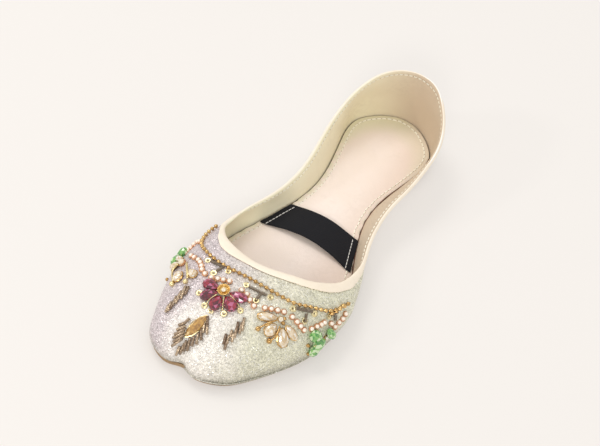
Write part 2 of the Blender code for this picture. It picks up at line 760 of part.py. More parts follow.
build_strand("ball_chain", CHAIN_ROUTE, CHAIN_RADIUS, STRAND_STEP, GOLD)
build_strand("pearl_garland", GARLAND_ROUTE, PEARL_RADIUS, STRAND_STEP, PEARL)
build_flower("red", RED_SPOT, RED_PETALS, (CUP_RADIUS, CUP_HEIGHT), RED_GLASS)
small_cup = (CENTRE_RADIUS, 2 * CENTRE_RADIUS)
for side in ("outer", "inner"):
    champagne, green, mirrored = CHAMPAGNE_SPOTS[side], GREEN_SPOTS[side], side == "inner"
    build_flower(
        f"champagne_{side}", champagne, CHAMPAGNE_PETALS, small_cup, CHAMPAGNE_GLASS, mirrored
    )
    build_flower(f"green_{side}", green, GREEN_PETALS, small_cup, GREEN_GLASS, mirrored)
    for kind, routes in (("leaf_beads", LEAF_ROUTES), ("sprig", SPRIG_ROUTES)):
        build_strand(
            f"{kind}_{side}", routes[side], SPRIG_RADIUS, SPRIG_STEP, BROWN_BEAD, tapered=True
        )
build_stone()
for number, route in BRANCH_ROUTES.items():
    build_strand(f"branch_{number}", route, BRANCH_RADIUS, BRANCH_STEP, BROWN_BEAD)
stand_on_origin()
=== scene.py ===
"""Looks of a left mojari shoe: leather, glitter cloth, beadwork, light and camera."""

import logging
import math
import random
from collections.abc import Callable, Sequence
from dataclasses import dataclass, field
from enum import Enum

import bmesh
import bpy
import numpy as np
from mathutils import Matrix, Vector, noise
from mathutils.bvhtree import BVHTree
from mathutils.kdtree import KDTree


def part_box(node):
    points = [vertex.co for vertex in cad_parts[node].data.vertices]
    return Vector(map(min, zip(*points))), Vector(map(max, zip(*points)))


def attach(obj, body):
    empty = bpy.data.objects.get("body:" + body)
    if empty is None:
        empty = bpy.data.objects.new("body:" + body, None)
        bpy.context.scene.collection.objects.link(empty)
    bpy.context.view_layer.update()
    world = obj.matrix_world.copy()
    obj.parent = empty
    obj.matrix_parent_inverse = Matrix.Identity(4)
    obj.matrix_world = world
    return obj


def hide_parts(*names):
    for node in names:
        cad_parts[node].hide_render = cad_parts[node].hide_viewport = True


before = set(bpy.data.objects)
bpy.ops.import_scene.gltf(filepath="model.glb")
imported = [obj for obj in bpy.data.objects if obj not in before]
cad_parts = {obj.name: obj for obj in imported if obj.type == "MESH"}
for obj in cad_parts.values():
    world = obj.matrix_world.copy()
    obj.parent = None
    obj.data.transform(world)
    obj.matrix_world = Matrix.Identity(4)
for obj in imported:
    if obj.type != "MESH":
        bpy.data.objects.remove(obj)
LOG = logging.getLogger("mojari")

BODY = "root"
MM = 0.001
PHOTO_WIDTH = 600
PHOTO_HEIGHT = 446
SENSOR_MM = 36.0
ON_SIDE = (0, math.pi / 2, 0)
UP = Vector((0, 0, 1))
OUTWARD = Vector((1, 0, 0))
MIDDLE_X = 0.00305
THREAD_LIFT = 0.00015
COIL_RADIUS = 0.00072
COIL_WIRE = 0.00024
COIL_PITCH = 0.0006
CLOTH, LEATHER, LINING = range(3)

Colour = tuple[float, float, float]
Pixel = tuple[float, float]
Span = tuple[float, float]
Array = np.ndarray
Piece = bpy.types.Object
Socket = bpy.types.NodeSocket
Rows = tuple[float, float, float, float]
Test = Callable[[Vector, Vector], bool]


# Benchwork: Blender's own tools, on one piece at a time


def clear() -> None:
    """Leaves edit mode and deselects every object."""
    if bpy.context.mode != "OBJECT":
        bpy.ops.object.mode_set(mode="OBJECT")
    bpy.ops.object.select_all(action="DESELECT")


def take(piece: Piece) -> None:
    """Makes a piece the active one and the only one selected.

    Args:
        piece: the object to work on.
    """
    clear()
    piece.select_set(True)
    bpy.context.view_layer.objects.active = piece


def edit(piece: Piece, mode: str = "FACE") -> None:
    """Opens a piece in edit mode with nothing selected.

    Args:
        piece: the mesh object to open.
        mode: VERT, EDGE or FACE.
    """
    take(piece)
    bpy.ops.object.mode_set(mode="EDIT")
    bpy.ops.mesh.select_mode(type=mode)
    bpy.ops.mesh.select_all(action="DESELECT")


def started(mode: str = "FACE") -> Piece:
    """Applies the place of a primitive just added and opens it in edit mode.

    Args:
        mode: VERT, EDGE or FACE.

    Returns:
        The primitive's object.
    """
    piece = bpy.context.active_object
    bpy.ops.object.transform_apply()
    edit(piece, mode)
    return piece


def pick(test: Test, mode: str = "FACE") -> None:
    """Selects vertices or faces of the open piece by their place and normal.

    Args:
        test: says for a place and a normal whether it is selected.
        mode: VERT or FACE.
    """
    bpy.ops.mesh.select_mode(type=mode)
    bpy.ops.mesh.select_all(action="DESELECT")
    mesh = bpy.context.active_object.data
    work = bmesh.from_edit_mesh(mesh)
    work.normal_update()
    for part in work.faces if mode == "FACE" else work.verts:
        place = part.calc_center_median() if mode == "FACE" else part.co
        part.select_set(bool(test(place, part.normal)))
    work.select_flush_mode()
    bmesh.update_edit_mesh(mesh)


def finish(piece: Piece) -> Piece:
    """Closes a piece: place applied to its mesh, doubles merged, faces pointing out.

    Args:
        piece: the mesh object.

    Returns:
        The same object.
    """
    take(piece)
    bpy.ops.object.transform_apply()
    bpy.ops.object.mode_set(mode="EDIT")
    bpy.ops.mesh.select_all(action="SELECT")
    bpy.ops.mesh.remove_doubles(threshold=1e-7)
    bpy.ops.mesh.normals_make_consistent(inside=False)
    bpy.ops.object.mode_set(mode="OBJECT")
    return piece


def modify(piece: Piece, kind: str, **settings: object) -> None:
    """Adds a modifier, sets it and applies it.

    Args:
        piece: the mesh object.
        kind: the modifier's type.
        settings: its own properties.
    """
    modifier = piece.modifiers.new(kind.lower(), kind)
    for key, value in settings.items():
        setattr(modifier, key, value)
    take(piece)
    bpy.ops.object.modifier_apply(modifier=modifier.name)


def wire(name: str, points: Sequence[Vector], radius: float) -> Piece:
    """Round wire through points, made from a path and turned into a mesh.

    Args:
        name: the object's name.
        points: places along the wire.
        radius: half its thickness.

    Returns:
        The mesh object, smooth and with closed ends.
    """
    clear()
    bpy.ops.curve.primitive_nurbs_path_add()
    path = bpy.context.active_object
    path.name = name
    path.data.splines.clear()
    spline = path.data.splines.new("NURBS")
    spline.points.add(len(points) - 1)
    for knot, point in zip(spline.points, points):
        knot.co = (*point, 1.0)
    spline.order_u = min(4, len(points))
    spline.use_endpoint_u = True
    path.data.dimensions = "3D"
    path.data.resolution_u = 4
    path.data.bevel_depth = radius
    path.data.bevel_resolution = 2
    path.data.use_fill_caps = True
    take(path)
    bpy.ops.object.convert(target="MESH")
    made = finish(bpy.context.active_object)
    made.data.shade_smooth()
    return made


def link(piece: Piece) -> Piece:
    """Puts a new object in the scene and gives it back."""
    bpy.context.scene.collection.objects.link(piece)
    return piece


def corners(mesh: bpy.types.Mesh) -> Array:
    """Places of a mesh's vertices."""
    return np.array([vertex.co[:] for vertex in mesh.vertices])


@dataclass
class Bead:
    """Shape of a small repeated piece, ready to be copied."""

    points: Array
    faces: list[tuple[int, ...]]
    smooth: list[bool]
    # highlight_by_height: the "facet" attribute holds face heights, for a painted highlight on top.
    highlight_by_height: bool = False

    def heights(self) -> list[float]:
        """Height of each face in the bead, from 0 at its foot to 1 at its top."""
        low, high = self.points[:, 2].min(), self.points[:, 2].max()
        return [float((self.points[list(face), 2].mean() - low) / (high - low)) for face in self.faces]

    @classmethod
    def closed(cls, piece: Piece, angle: float = 180.0) -> "Bead":
        """Closes a modelled piece, takes its shape and removes the piece.

        Args:
            piece: the modelled object.
            angle: the sharpest fold that is shaded smooth, in degrees, or 0 for flat facets.

        Returns:
            The bead.
        """
        take(piece)
        if angle:
            bpy.ops.object.shade_smooth_by_angle(angle=math.radians(angle))
        mesh = finish(piece).data
        faces = [tuple(face.vertices) for face in mesh.polygons]
        made = cls(corners(mesh), faces, [face.use_smooth for face in mesh.polygons])
        bpy.data.objects.remove(piece, do_unlink=True)
        return made


def placed(origin: Vector, along: Vector, normal: Vector, size: Sequence[float] = (1, 1, 1)) -> Array:
    """Matrix that carries a bead to its seat.

    Args:
        origin: where the bead's own origin goes.
        along: direction of its X axis, laid at right angles to the normal.
        normal: direction of its Z axis.
        size: factors on its three axes.

    Returns:
        A 4 by 4 array.
    """
    up = normal.normalized()
    run = (along - up * along.dot(up)).normalized()
    side = up.cross(run)
    made = np.eye(4)
    for axis, (direction, factor) in enumerate(zip((run, side, up), size)):
        made[:3, axis] = np.array(direction) * factor
    made[:3, 3] = origin
    return made


def copies(name: str, bead: Bead, seats: Sequence[Array]) -> Piece:
    """One mesh object that holds a copy of a bead on each seat.

    Each copy carries its own random tone in the face attribute "tone", and each face one in "facet"; a bead
    with a painted highlight by height holds its faces' heights in "facet" instead.

    Args:
        name: the object's name.
        bead: the shape to copy.
        seats: a matrix for each copy.

    Returns:
        The new object.
    """
    points, faces, tones = [], [], []
    draw = random.Random(name)
    for number, seat in enumerate(seats):
        start = number * len(bead.points)
        points.append(bead.points @ seat[:3, :3].T + seat[:3, 3])
        faces += [tuple(start + i for i in face) for face in bead.faces]
        tones += [draw.random()] * len(bead.faces)
    mesh = bpy.data.meshes.new(name)
    mesh.from_pydata(np.concatenate(points), [], faces)
    mesh.polygons.foreach_set("use_smooth", bead.smooth * len(seats))
    facets = bead.heights() * len(seats) if bead.highlight_by_height else [draw.random() for _ in faces]
    mesh.attributes.new("tone", "FLOAT", "FACE").data.foreach_set("value", tones)
    mesh.attributes.new("facet", "FLOAT", "FACE").data.foreach_set("value", facets)
    mesh.update()
    return link(bpy.data.objects.new(name, mesh))


def joined(name: str, pieces: Sequence[Piece]) -> Piece:
    """Joins mesh objects into the first of them.

    Args:
        name: the name of the joined object.
        pieces: the objects.

    Returns:
        The joined object.
    """
    take(pieces[0])
    for piece in pieces[1:]:
        piece.select_set(True)
    if len(pieces) > 1:
        bpy.ops.object.join()
    pieces[0].name = name
    return pieces[0]


def settle(piece: Piece, look: "Look | None", nodes: Sequence[str] = ()) -> None:
    """Gives a piece its finish and ties it to the frame.

    Args:
        piece: the object.
        look: the finish of all its faces, or None for a piece that has its materials.
        nodes: the CAD nodes that it stands for.
    """
    if look:
        piece.data.materials.clear()
        piece.data.materials.append(look.value.material())
    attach(piece, BODY)
    if nodes:
        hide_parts(*nodes)
    LOG.info("%s: %d faces", piece.name, len(piece.data.polygons))


# Cages: merged copies of the CAD solids


class Cage:
    """Merged quad copy of a CAD node, from which a smooth piece is made."""

    def __init__(self, node: str, name: str) -> None:
        """Copies the node's mesh, merges its triangles and turns them to quads.

        Args:
            node: the CAD node.
            name: the new object's name.
        """
        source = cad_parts[node]
        self.piece = link(bpy.data.objects.new(name, source.data.copy()))
        self.piece.data.materials.clear()
        edit(self.piece)
        bpy.ops.mesh.select_all(action="SELECT")
        bpy.ops.mesh.remove_doubles(threshold=1e-6)
        bpy.ops.mesh.customdata_custom_splitnormals_clear()
        bpy.ops.mesh.tris_convert_to_quads(face_threshold=math.radians(60), shape_threshold=math.pi)
        bpy.ops.mesh.mark_sharp(clear=True)
        bpy.ops.object.mode_set(mode="OBJECT")
        self.piece.data.shade_smooth()

    def crease(self, test: Test, weight: float) -> None:
        """Keeps the edges of some faces crisp when the cage is subdivided.

        Args:
            test: picks the faces by place and normal.
            weight: from 0, soft, to 1, sharp.
        """
        edit(self.piece)
        pick(test)
        bpy.ops.transform.edge_crease(value=weight)
        bpy.ops.object.mode_set(mode="OBJECT")

    def subdivide(self, levels: int) -> Piece:
        """Smooths the cage by a Subdivision Surface modifier and gives its piece."""
        modify(self.piece, "SUBSURF", levels=levels, render_levels=levels)
        return self.piece

    def loop(self, seed: Vector) -> Array:
        """Walks the mesh along X and straight on until the run of edges closes.

        Args:
            seed: a place near the first vertex.

        Returns:
            The closed run's points, in order.
        """
        mesh = self.piece.data
        places = corners(mesh)
        near: dict[int, list[int]] = {}
        for edge in mesh.edges:
            a, b = edge.vertices
            near.setdefault(a, []).append(b)
            near.setdefault(b, []).append(a)
        first = int(np.argmin(np.linalg.norm(places - np.array(seed), axis=1)))
        run = np.array((1.0, 0.0, 0.0))
        walked, here = [first], first
        for _ in range(len(places)):
            best, most = -1, -2.0
            for other in near[here]:
                step = places[other] - places[here]
                lead = float(step @ run / (np.linalg.norm(step) + 1e-12))
                if lead > most and (len(walked) < 2 or other != walked[-2]):
                    best, most = other, lead
            if best in (first, -1):
                break
            run = places[best] - places[here]
            run /= np.linalg.norm(run)
            walked.append(best)
            here = best
        return places[walked]


def evenly(points: Array, spacing: float, closed: bool = False) -> Array:
    """Points a set distance apart on a run of points.

    Args:
        points: the run.
        spacing: the distance wanted.
        closed: whether the last point joins the first.

    Returns:
        The new points.
    """
    run = np.vstack([points, points[:1]]) if closed else points
    length = np.concatenate([[0], np.cumsum(np.linalg.norm(np.diff(run, axis=0), axis=1))])
    count = max(2, round(length[-1] / spacing) + (0 if closed else 1))
    marks = np.linspace(0, length[-1], count, endpoint=not closed)
    return np.column_stack([np.interp(marks, length, run[:, axis]) for axis in range(3)])


def smoothed(points: Array, passes: int) -> Array:
    """Rounds off an open run of points, ends kept.

    Args:
        points: the run.
        passes: how often each point moves to the mean of its neighbours.

    Returns:
        The rounded run.
    """
    made = points.copy()
    for _ in range(passes):
        made[1:-1] = made[1:-1] * 0.5 + (made[:-2] + made[2:]) * 0.25
    return made


def strand_centres(node: str, reach: float = 0.0028) -> Array:
    """Middle line of a CAD strand, one point for each of its rings.

    Args:
        node: the CAD node of a round strand.
        reach: a distance wider than its end ring and shorter than a ring's step.

    Returns:
        The ring centres in order from one end.
    """
    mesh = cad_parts[node].data
    raw = corners(mesh)
    _, first, index = np.unique(np.round(raw, 6), axis=0, return_index=True, return_inverse=True)
    places, index = raw[first], index.reshape(-1)
    near: dict[int, set[int]] = {}
    for face in mesh.polygons:
        ends = [int(index[i]) for i in face.vertices]
        for a in ends:
            near.setdefault(a, set()).update(b for b in ends if b != a)

    def layers(start: set[int]) -> list[set[int]]:
        """Sets of vertices by their count of edges from a start.

        Args:
            start: the first set.

        Returns:
            The sets, nearest first.
        """
        found, seen = [start], set(start)
        while True:
            ahead = set().union(*(near[i] for i in found[-1])) - seen
            if not ahead:
                return found
            seen |= ahead
            found.append(ahead)

    end = places[next(iter(layers({0})[-1]))]
    ring = {i for i, place in enumerate(places) if np.linalg.norm(place - end) < reach}
    centres = np.array([places[list(layer)].mean(axis=0) for layer in layers(ring)])
    return centres if centres[0][0] < centres[-1][0] else centres[::-1]


def tree_of(points: Array) -> KDTree:
    """Makes a search tree of points.

    Args:
        points: the places to find again.

    Returns:
        The tree, which gives the nearest point, its number and its distance.
    """
    tree = KDTree(len(points))
    for number, point in enumerate(points):
        tree.insert(point, number)
    tree.balance()
    return tree


def eased(value: float, low: float, high: float) -> float:
    """Smooth step from 0 at low to 1 at high."""
    share = max(0.0, min(1.0, (value - low) / (high - low)))
    return share * share * (3 - 2 * share)


def within(value: float, rows: Rows) -> float:
    """Rises from 0 to 1 over the first two rows and falls back over the last two."""
    return eased(value, *rows[:2]) * (1 - eased(value, *rows[2:]))


def level(way: Vector) -> Vector:
    """Direction along the floor."""
    return Vector((way.x, way.y, 0)).normalized()


def swing(along: float) -> float:
    """How far the toe swings to the inner side, at a place along the shoe."""
    return -0.0141 * max(0.0, (-0.0359 - along) / 0.09) ** 1.2


# Camera and studio


@dataclass
class PhotoCamera:
    """Camera at the photo's angle to the shoe."""

    aim: Vector = field(default_factory=lambda: Vector((0.00305, -0.00586, 0.015)))
    distance: float = 0.8503
    azimuth: float = 21.08
    elevation: float = 51.36
    roll: float = 12.52
    focal_px: float = 1410.45
    centre_px: Pixel = (310.27, 235.54)

    def axes(self) -> tuple[Vector, Vector, Vector]:
        """Image right, image up and the way back from the shoe to the camera."""
        a, e, r = (math.radians(x) for x in (self.azimuth, self.elevation, self.roll))
        back = Vector((math.sin(a) * math.cos(e), -math.cos(a) * math.cos(e), math.sin(e)))
        right = (-back).cross(UP).normalized()
        up = right.cross(-back)
        return right * math.cos(r) + up * math.sin(r), up * math.cos(r) - right * math.sin(r), back

    def place(self) -> Vector:
        """Where the camera stands."""
        return self.aim + self.axes()[2] * self.distance

    def ray(self, pixel: Pixel) -> Vector:
        """Direction from the camera through a pixel of the photo.

        Args:
            pixel: its column and row in the photo.

        Returns:
            A unit vector.
        """
        right, up, back = self.axes()
        across = (pixel[0] - self.centre_px[0]) / self.focal_px
        down = (pixel[1] - self.centre_px[1]) / self.focal_px
        return (right * across - up * down - back).normalized()

    def build(self) -> None:
        """Makes the camera and gives it to the scene."""
        right, up, back = self.axes()
        data = bpy.data.cameras.new("photo_camera")
        data.sensor_width = SENSOR_MM
        data.lens = self.focal_px / PHOTO_WIDTH * SENSOR_MM
        data.shift_x = (PHOTO_WIDTH / 2 - self.centre_px[0]) / PHOTO_WIDTH
        data.shift_y = (self.centre_px[1] - PHOTO_HEIGHT / 2) / PHOTO_WIDTH
        data.clip_start, data.clip_end = 0.01, 20.0
        camera = link(bpy.data.objects.new("photo_camera", data))
        turn = Matrix((right, up, back)).transposed().to_4x4()
        camera.matrix_world = Matrix.Translation(self.place()) @ turn
        bpy.context.scene.camera = camera


@dataclass
class SoftLight:
    """One large soft lamp."""

    name: str
    place: Vector
    size: float
    power: float
    colour: Colour

    def build(self) -> None:
        """Hangs the lamp so that it faces the shoe."""
        data = bpy.data.lights.new(self.name, "AREA")
        data.shape = "DISK"
        data.size = self.size
        data.energy = self.power
        data.color = self.colour
        lamp = link(bpy.data.objects.new(self.name, data))
        lamp.location = self.place
        lamp.rotation_mode = "QUATERNION"
        lamp.rotation_quaternion = (Vector((0, -0.01, 0.02)) - self.place).to_track_quat("-Z", "Y")


@dataclass
class Studio:
    """Plain pale floor, even room light and three soft lamps."""

    floor_size: float = 6.0
    floor_colour: Colour = (0.45, 0.43, 0.41)
    floor_glow: Colour = (0.412, 0.396, 0.380)
    room_colour: Colour = (1.0, 0.99, 0.98)
    room_strength: float = 0.83
    lamps: tuple[SoftLight, ...] = (
        SoftLight("key_lamp", Vector((-1.20, 0.45, 2.30)), 1.0, 15.0, (1.0, 0.985, 0.96)),
        SoftLight("front_lamp", Vector((0.55, -1.80, 1.35)), 0.6, 10.5, (1.0, 0.98, 0.95)),
        SoftLight("toe_lamp", Vector((-0.90, -0.75, 0.70)), 0.16, 2.0, (1.0, 0.98, 0.95)),
    )

    def build(self) -> None:
        """Lays the floor, sets the room's light and hangs the lamps."""
        clear()
        bpy.ops.mesh.primitive_plane_add(size=self.floor_size, location=(0, 0, 0))
        floor = bpy.context.active_object
        floor.name = "studio_floor"
        bpy.ops.object.transform_apply()
        paper = bpy.data.materials.new("studio_paper")
        paper.use_nodes = True
        Graph(paper.node_tree).fill(paper.node_tree.nodes["Principled BSDF"], {
            "Base Color": self.floor_colour,
            "Roughness": 0.9,
            "Specular IOR Level": 0.1,
            "Emission Color": self.floor_glow,
            "Emission Strength": 1.0,
        })
        floor.data.materials.append(paper)
        world = bpy.data.worlds.new("studio_room")
        world.use_nodes = True
        background = {"Color": self.room_colour, "Strength": self.room_strength}
        Graph(world.node_tree).fill(world.node_tree.nodes["Background"], background)
        bpy.context.scene.world = world
        bpy.context.scene.view_settings.view_transform = "Standard"
        for lamp in self.lamps:
            lamp.build()


# Finishes


class Graph:
    """A node tree that is laid out one node at a time."""

    def __init__(self, tree: bpy.types.NodeTree) -> None:
        """Keeps the tree."""
        self.tree = tree

    def fill(self, node: bpy.types.Node, inputs: dict) -> bpy.types.Node:
        """Sets or links the inputs of a node.

        Args:
            node: the node.
            inputs: numbers, colours or output sockets by input name or number.

        Returns:
            The same node.
        """
        for key, value in inputs.items():
            if isinstance(value, Socket):
                self.tree.links.new(value, node.inputs[key])
            elif node.inputs[key].type == "RGBA":
                node.inputs[key].default_value = (*value, 1)
            else:
                node.inputs[key].default_value = value
        return node

    def add(self, kind: str, inputs: dict | None = None, **settings: object) -> bpy.types.Node:
        """Adds a node, sets its properties and fills its inputs.

        Args:
            kind: the node's type, without its first words.
            inputs: what its inputs hold, by name or number.
            settings: the node's own properties.

        Returns:
            The node.
        """
        node = self.tree.nodes.new("ShaderNode" + kind)
        for key, value in settings.items():
            setattr(node, key, value)
        return self.fill(node, inputs or {})

    def mix(self, share: object, first: object, second: object) -> Socket:
        """Mix of two colours: the first at a share of 0 and the second at 1."""
        return self.add("Mix", {0: share, 6: first, 7: second}, data_type="RGBA").outputs[2]

    def math(self, operation: str, *values: object) -> Socket:
        """Result of one Math node on numbers or sockets."""
        return self.add("Math", dict(enumerate(values)), operation=operation).outputs[0]

    def vector(self, operation: str, inputs: dict) -> Socket:
        """Result of one Vector Math node."""
        return self.add("VectorMath", inputs, operation=operation).outputs[0]

    def ramp(self, value: Socket, low: float, high: float, first: float = 0.0, last: float = 1.0) -> Socket:
        """Value eased from one range to another: first at low and last at high."""
        names = {"Value": value, "From Min": low, "From Max": high, "To Min": first, "To Max": last}
        return self.add("MapRange", names, interpolation_type="SMOOTHSTEP").outputs[0]

    def place(self) -> Socket:
        """Object coordinates."""
        return self.add("TexCoord").outputs["Object"]

    def normal(self) -> Socket:
        """Surface normal."""
        return self.add("NewGeometry").outputs["Normal"]

    def split(self, way: Socket) -> bpy.types.NodeOutputs:
        """X, Y and Z of a place or a direction."""
        return self.add("SeparateXYZ", {0: way}).outputs

    def speckle(self, scale: object, detail: float, roughness: float = 0.5) -> Socket:
        """Noise on Object coordinates."""
        inputs = {"Vector": self.place(), "Scale": scale, "Detail": detail, "Roughness": roughness}
        return self.add("TexNoise", inputs).outputs["Fac"]

    def mark(self, name: str) -> Socket:
        """Value of one of the piece's own attributes."""
        return self.add("Attribute", attribute_name=name).outputs["Fac"]

    def bump(self, height: Socket, distance: float, strength: float = 1.0) -> Socket:
        """Normal bumped by a height that stands a distance proud, in metres."""
        inputs = {"Height": height, "Distance": distance, "Strength": strength}
        return self.add("Bump", inputs).outputs["Normal"]

    def grouped(self, effect: "Effect", values: dict[str, float]) -> bpy.types.NodeOutputs:
        """Outputs of an effect's node group, with its own values."""
        return self.add("Group", values, node_tree=effect.group()).outputs


@dataclass(frozen=True)
class Effect:
    """An effect that more than one finish uses, as a node group that is built once."""

    name: str
    input: str
    outputs: tuple[str, ...]
    lay: Callable[[Graph, bpy.types.NodeOutputs], tuple[Socket, ...]]

    def group(self) -> bpy.types.NodeTree:
        """Gives the node group, made at its first use.

        Returns:
            The group's tree.
        """
        if self.name in bpy.data.node_groups:
            return bpy.data.node_groups[self.name]
        tree = bpy.data.node_groups.new(self.name, "ShaderNodeTree")
        tree.interface.new_socket(self.input, in_out="INPUT", socket_type="NodeSocketFloat")
        for key in self.outputs:
            tree.interface.new_socket(key, in_out="OUTPUT", socket_type="NodeSocketFloat")
        graph = Graph(tree)
        made = self.lay(graph, tree.nodes.new("NodeGroupInput").outputs)
        graph.fill(tree.nodes.new("NodeGroupOutput"), dict(zip(self.outputs, made)))
        return tree


def lay_grain(graph: Graph, given: bpy.types.NodeOutputs) -> tuple[Socket, Socket]:
    """Lays out leather grain: pebbles in cells, with pores and fine wrinkles.

    Args:
        graph: the group's graph.
        given: the group's input, Scale.

    Returns:
        Height and tone.
    """
    warp = graph.speckle(160.0, 2.0).node.outputs["Color"]
    moved = graph.vector("SCALE", {0: warp, "Scale": 0.0016})
    bent = graph.vector("ADD", {0: graph.place(), 1: moved})
    cells = graph.add("TexVoronoi", {"Vector": bent, "Scale": given["Scale"]}, feature="DISTANCE_TO_EDGE")
    pebble = graph.ramp(cells.outputs["Distance"], 0.0, 0.22)
    pores = graph.math("MULTIPLY", graph.speckle(2600.0, 3.0), 0.3)
    return graph.math("ADD", pebble, pores), graph.speckle(55.0, 4.0)


def lay_soil(graph: Graph, given: bpy.types.NodeOutputs) -> tuple[Socket]:
    """Lays out handling marks: broad smudges broken up by fine ones.

    Args:
        graph: the group's graph.
        given: the group's input, Cover.

    Returns:
        The mask.
    """
    patch = graph.ramp(graph.speckle(30.0, 5.0, 0.6), 0.46, 0.68)
    speck = graph.ramp(graph.speckle(420.0, 3.0), 0.4, 0.62)
    return (graph.math("MULTIPLY", graph.math("MULTIPLY", patch, speck), given["Cover"]),)


GRAIN = Effect("leather_grain", "Scale", ("Height", "Tone"), lay_grain)
SOIL = Effect("handling_marks", "Cover", ("Mask",), lay_soil)


@dataclass(frozen=True)
class Finish:
    """A finish that makes its material once."""

    name: str

    def material(self) -> bpy.types.Material:
        """Gives the finish's material, made at its first use.

        Returns:
            The material.
        """
        if self.name in bpy.data.materials:
            return bpy.data.materials[self.name]
        made = bpy.data.materials.new(self.name)
        made.use_nodes = True
        graph = Graph(made.node_tree)
        graph.fill(made.node_tree.nodes["Principled BSDF"], self.paint(graph))
        return made

    def paint(self, graph: Graph) -> dict[str, object]:
        """Lays out the finish's nodes and gives the shader's inputs by name."""
        raise NotImplementedError


@dataclass(frozen=True)
class Leather(Finish):
    """Dyed leather with grain, soft mottling and handling marks; some pieces carry painted shade as well."""

    colour: Colour
    shade: Colour
    soil: Colour = (0.42, 0.32, 0.22)
    soil_cover: float = 0.25
    grain_scale: float = 1300.0
    grain_depth: float = 0.00004
    roughness: float = 0.5
    tint_and_shade: Colour | None = None
    tint_and_shade_from: Span = (0.0, 0.03)
    # rim: colour of painted shade near the walls.
    rim: Colour | None = None
    # edge: colour of painted shade on steep faces.
    edge: Colour | None = None

    def paint(self, graph: Graph) -> dict[str, object]:
        """Lays out grain, mottling, a tint with painted shade towards the outer side, a painted shade band,
        painted dark edges and soil.

        Args:
            graph: the material's graph.

        Returns:
            The shader's inputs by name.
        """
        grain = graph.grouped(GRAIN, {"Scale": self.grain_scale})
        soil = graph.grouped(SOIL, {"Cover": self.soil_cover})
        base = graph.mix(graph.ramp(grain["Tone"], 0.35, 0.65), self.shade, self.colour)
        # Painted shade: the tint darkens the leather towards its outer side.
        if self.tint_and_shade:
            side = graph.ramp(graph.split(graph.place())["X"], *self.tint_and_shade_from)
            base = graph.mix(side, base, self.tint_and_shade)
        # Painted shade: the "rim" attribute darkens the leather near the walls, where shade falls.
        if self.rim:
            base = graph.mix(graph.mark("rim"), base, self.rim)
        # Painted shade: steep faces darken, for the dark gap where the piece meets the wall.
        if self.edge:
            upright = graph.ramp(graph.split(graph.normal())["Z"], 0.35, 0.75, 1.0, 0.0)
            base = graph.mix(upright, base, self.edge)
        base = graph.mix(soil["Mask"], base, self.soil)
        rough = graph.ramp(grain["Tone"], 0.3, 0.7, self.roughness - 0.06, self.roughness + 0.08)
        return {
            "Base Color": base,
            "Roughness": rough,
            "Normal": graph.bump(grain["Height"], self.grain_depth),
            "Specular IOR Level": 0.4,
        }


@dataclass(frozen=True)
class GlitterCloth(Finish):
    """Silver white cloth thick with fine glitter, lilac on one side and green on the other, partly as painted
    iridescent sheen.
    """

    lilac: Colour = (0.60, 0.525, 0.535)
    green: Colour = (0.72, 0.70, 0.54)
    bright: Colour = (0.90, 0.85, 0.78)
    foot_shade: Colour = (0.36, 0.34, 0.27)
    glint: Colour = (0.98, 0.97, 0.95)
    span: Span = (-0.030, 0.034)
    highlight_left: Span = (-0.034, -0.014)
    highlight_right: Span = (-0.006, 0.028)
    highlight_back: Span = (-0.100, -0.072)
    foot_shade_rise: Span = (0.0050, 0.0138)
    flake_scale: float = 2300.0
    clump_scale: float = 820.0

    def paint(self, graph: Graph) -> dict[str, object]:
        """Lays out cloth tints with painted sheen, a painted toe highlight, painted foot shade, flakes,
        clumps, painted glints and a flake normal.

        Args:
            graph: the material's graph.

        Returns:
            The shader's inputs by name.
        """
        place = graph.place()
        axis = graph.split(place)
        shift = graph.math("MULTIPLY_ADD", graph.speckle(38.0, 3.0), 0.04, -0.02)
        across = graph.math("ADD", axis["X"], shift)
        # The lilac-to-green shift is partly the cloth's tint and partly painted iridescent sheen.
        cloth = graph.mix(graph.ramp(across, *self.span), self.lilac, self.green)
        # Painted highlight: the toe's crown, on top of the vamp, is mixed towards a lighter colour.
        left = graph.ramp(across, *self.highlight_left)
        right = graph.ramp(across, *self.highlight_right, 1.0, 0.0)
        highlight_mask = graph.math("MULTIPLY", left, right)
        highlight_mask = graph.math("MULTIPLY", highlight_mask, graph.ramp(axis["Y"], *self.highlight_back, 1.0, 0.25))
        cloth = graph.mix(graph.math("MULTIPLY", highlight_mask, 0.85), cloth, self.bright)
        # Painted shade: the cloth darkens towards its foot by the sole, where shade falls.
        cloth = graph.mix(graph.ramp(axis["Z"], *self.foot_shade_rise, 0.75, 0.0), cloth, self.foot_shade)
        flakes = graph.add("TexVoronoi", {"Vector": place, "Scale": self.flake_scale}).outputs["Color"]
        clumps = graph.add("TexVoronoi", {"Vector": place, "Scale": self.clump_scale}).outputs["Color"]
        flake = graph.add("SeparateColor", {0: flakes}).outputs
        clump = graph.add("SeparateColor", {0: clumps}).outputs
        fine = graph.math("MULTIPLY_ADD", flake["Red"], 0.62, 0.64)
        broad = graph.math("MULTIPLY_ADD", clump["Red"], 0.30, 0.85)
        cloth = graph.vector("SCALE", {0: cloth, "Scale": graph.math("MULTIPLY", fine, broad)})
        # Painted glints: random flakes are mixed towards near white.
        cloth = graph.mix(graph.ramp(flake["Green"], 0.92, 0.96, 0.0, 0.9), cloth, self.glint)
        rock = graph.vector("SUBTRACT", {0: flakes, 1: (0.5, 0.5, 0.5)})
        tilt = graph.vector("SCALE", {0: rock, "Scale": 0.75})
        lean = graph.vector("ADD", {0: graph.normal(), 1: tilt})
        return {
            "Base Color": cloth,
            "Metallic": graph.ramp(flake["Blue"], 0.5, 0.8, 0.0, 0.55),
            "Roughness": graph.ramp(clump["Blue"], 0.2, 0.9, 0.25, 0.5),
            "Normal": graph.vector("NORMALIZE", {0: lean}),
        }


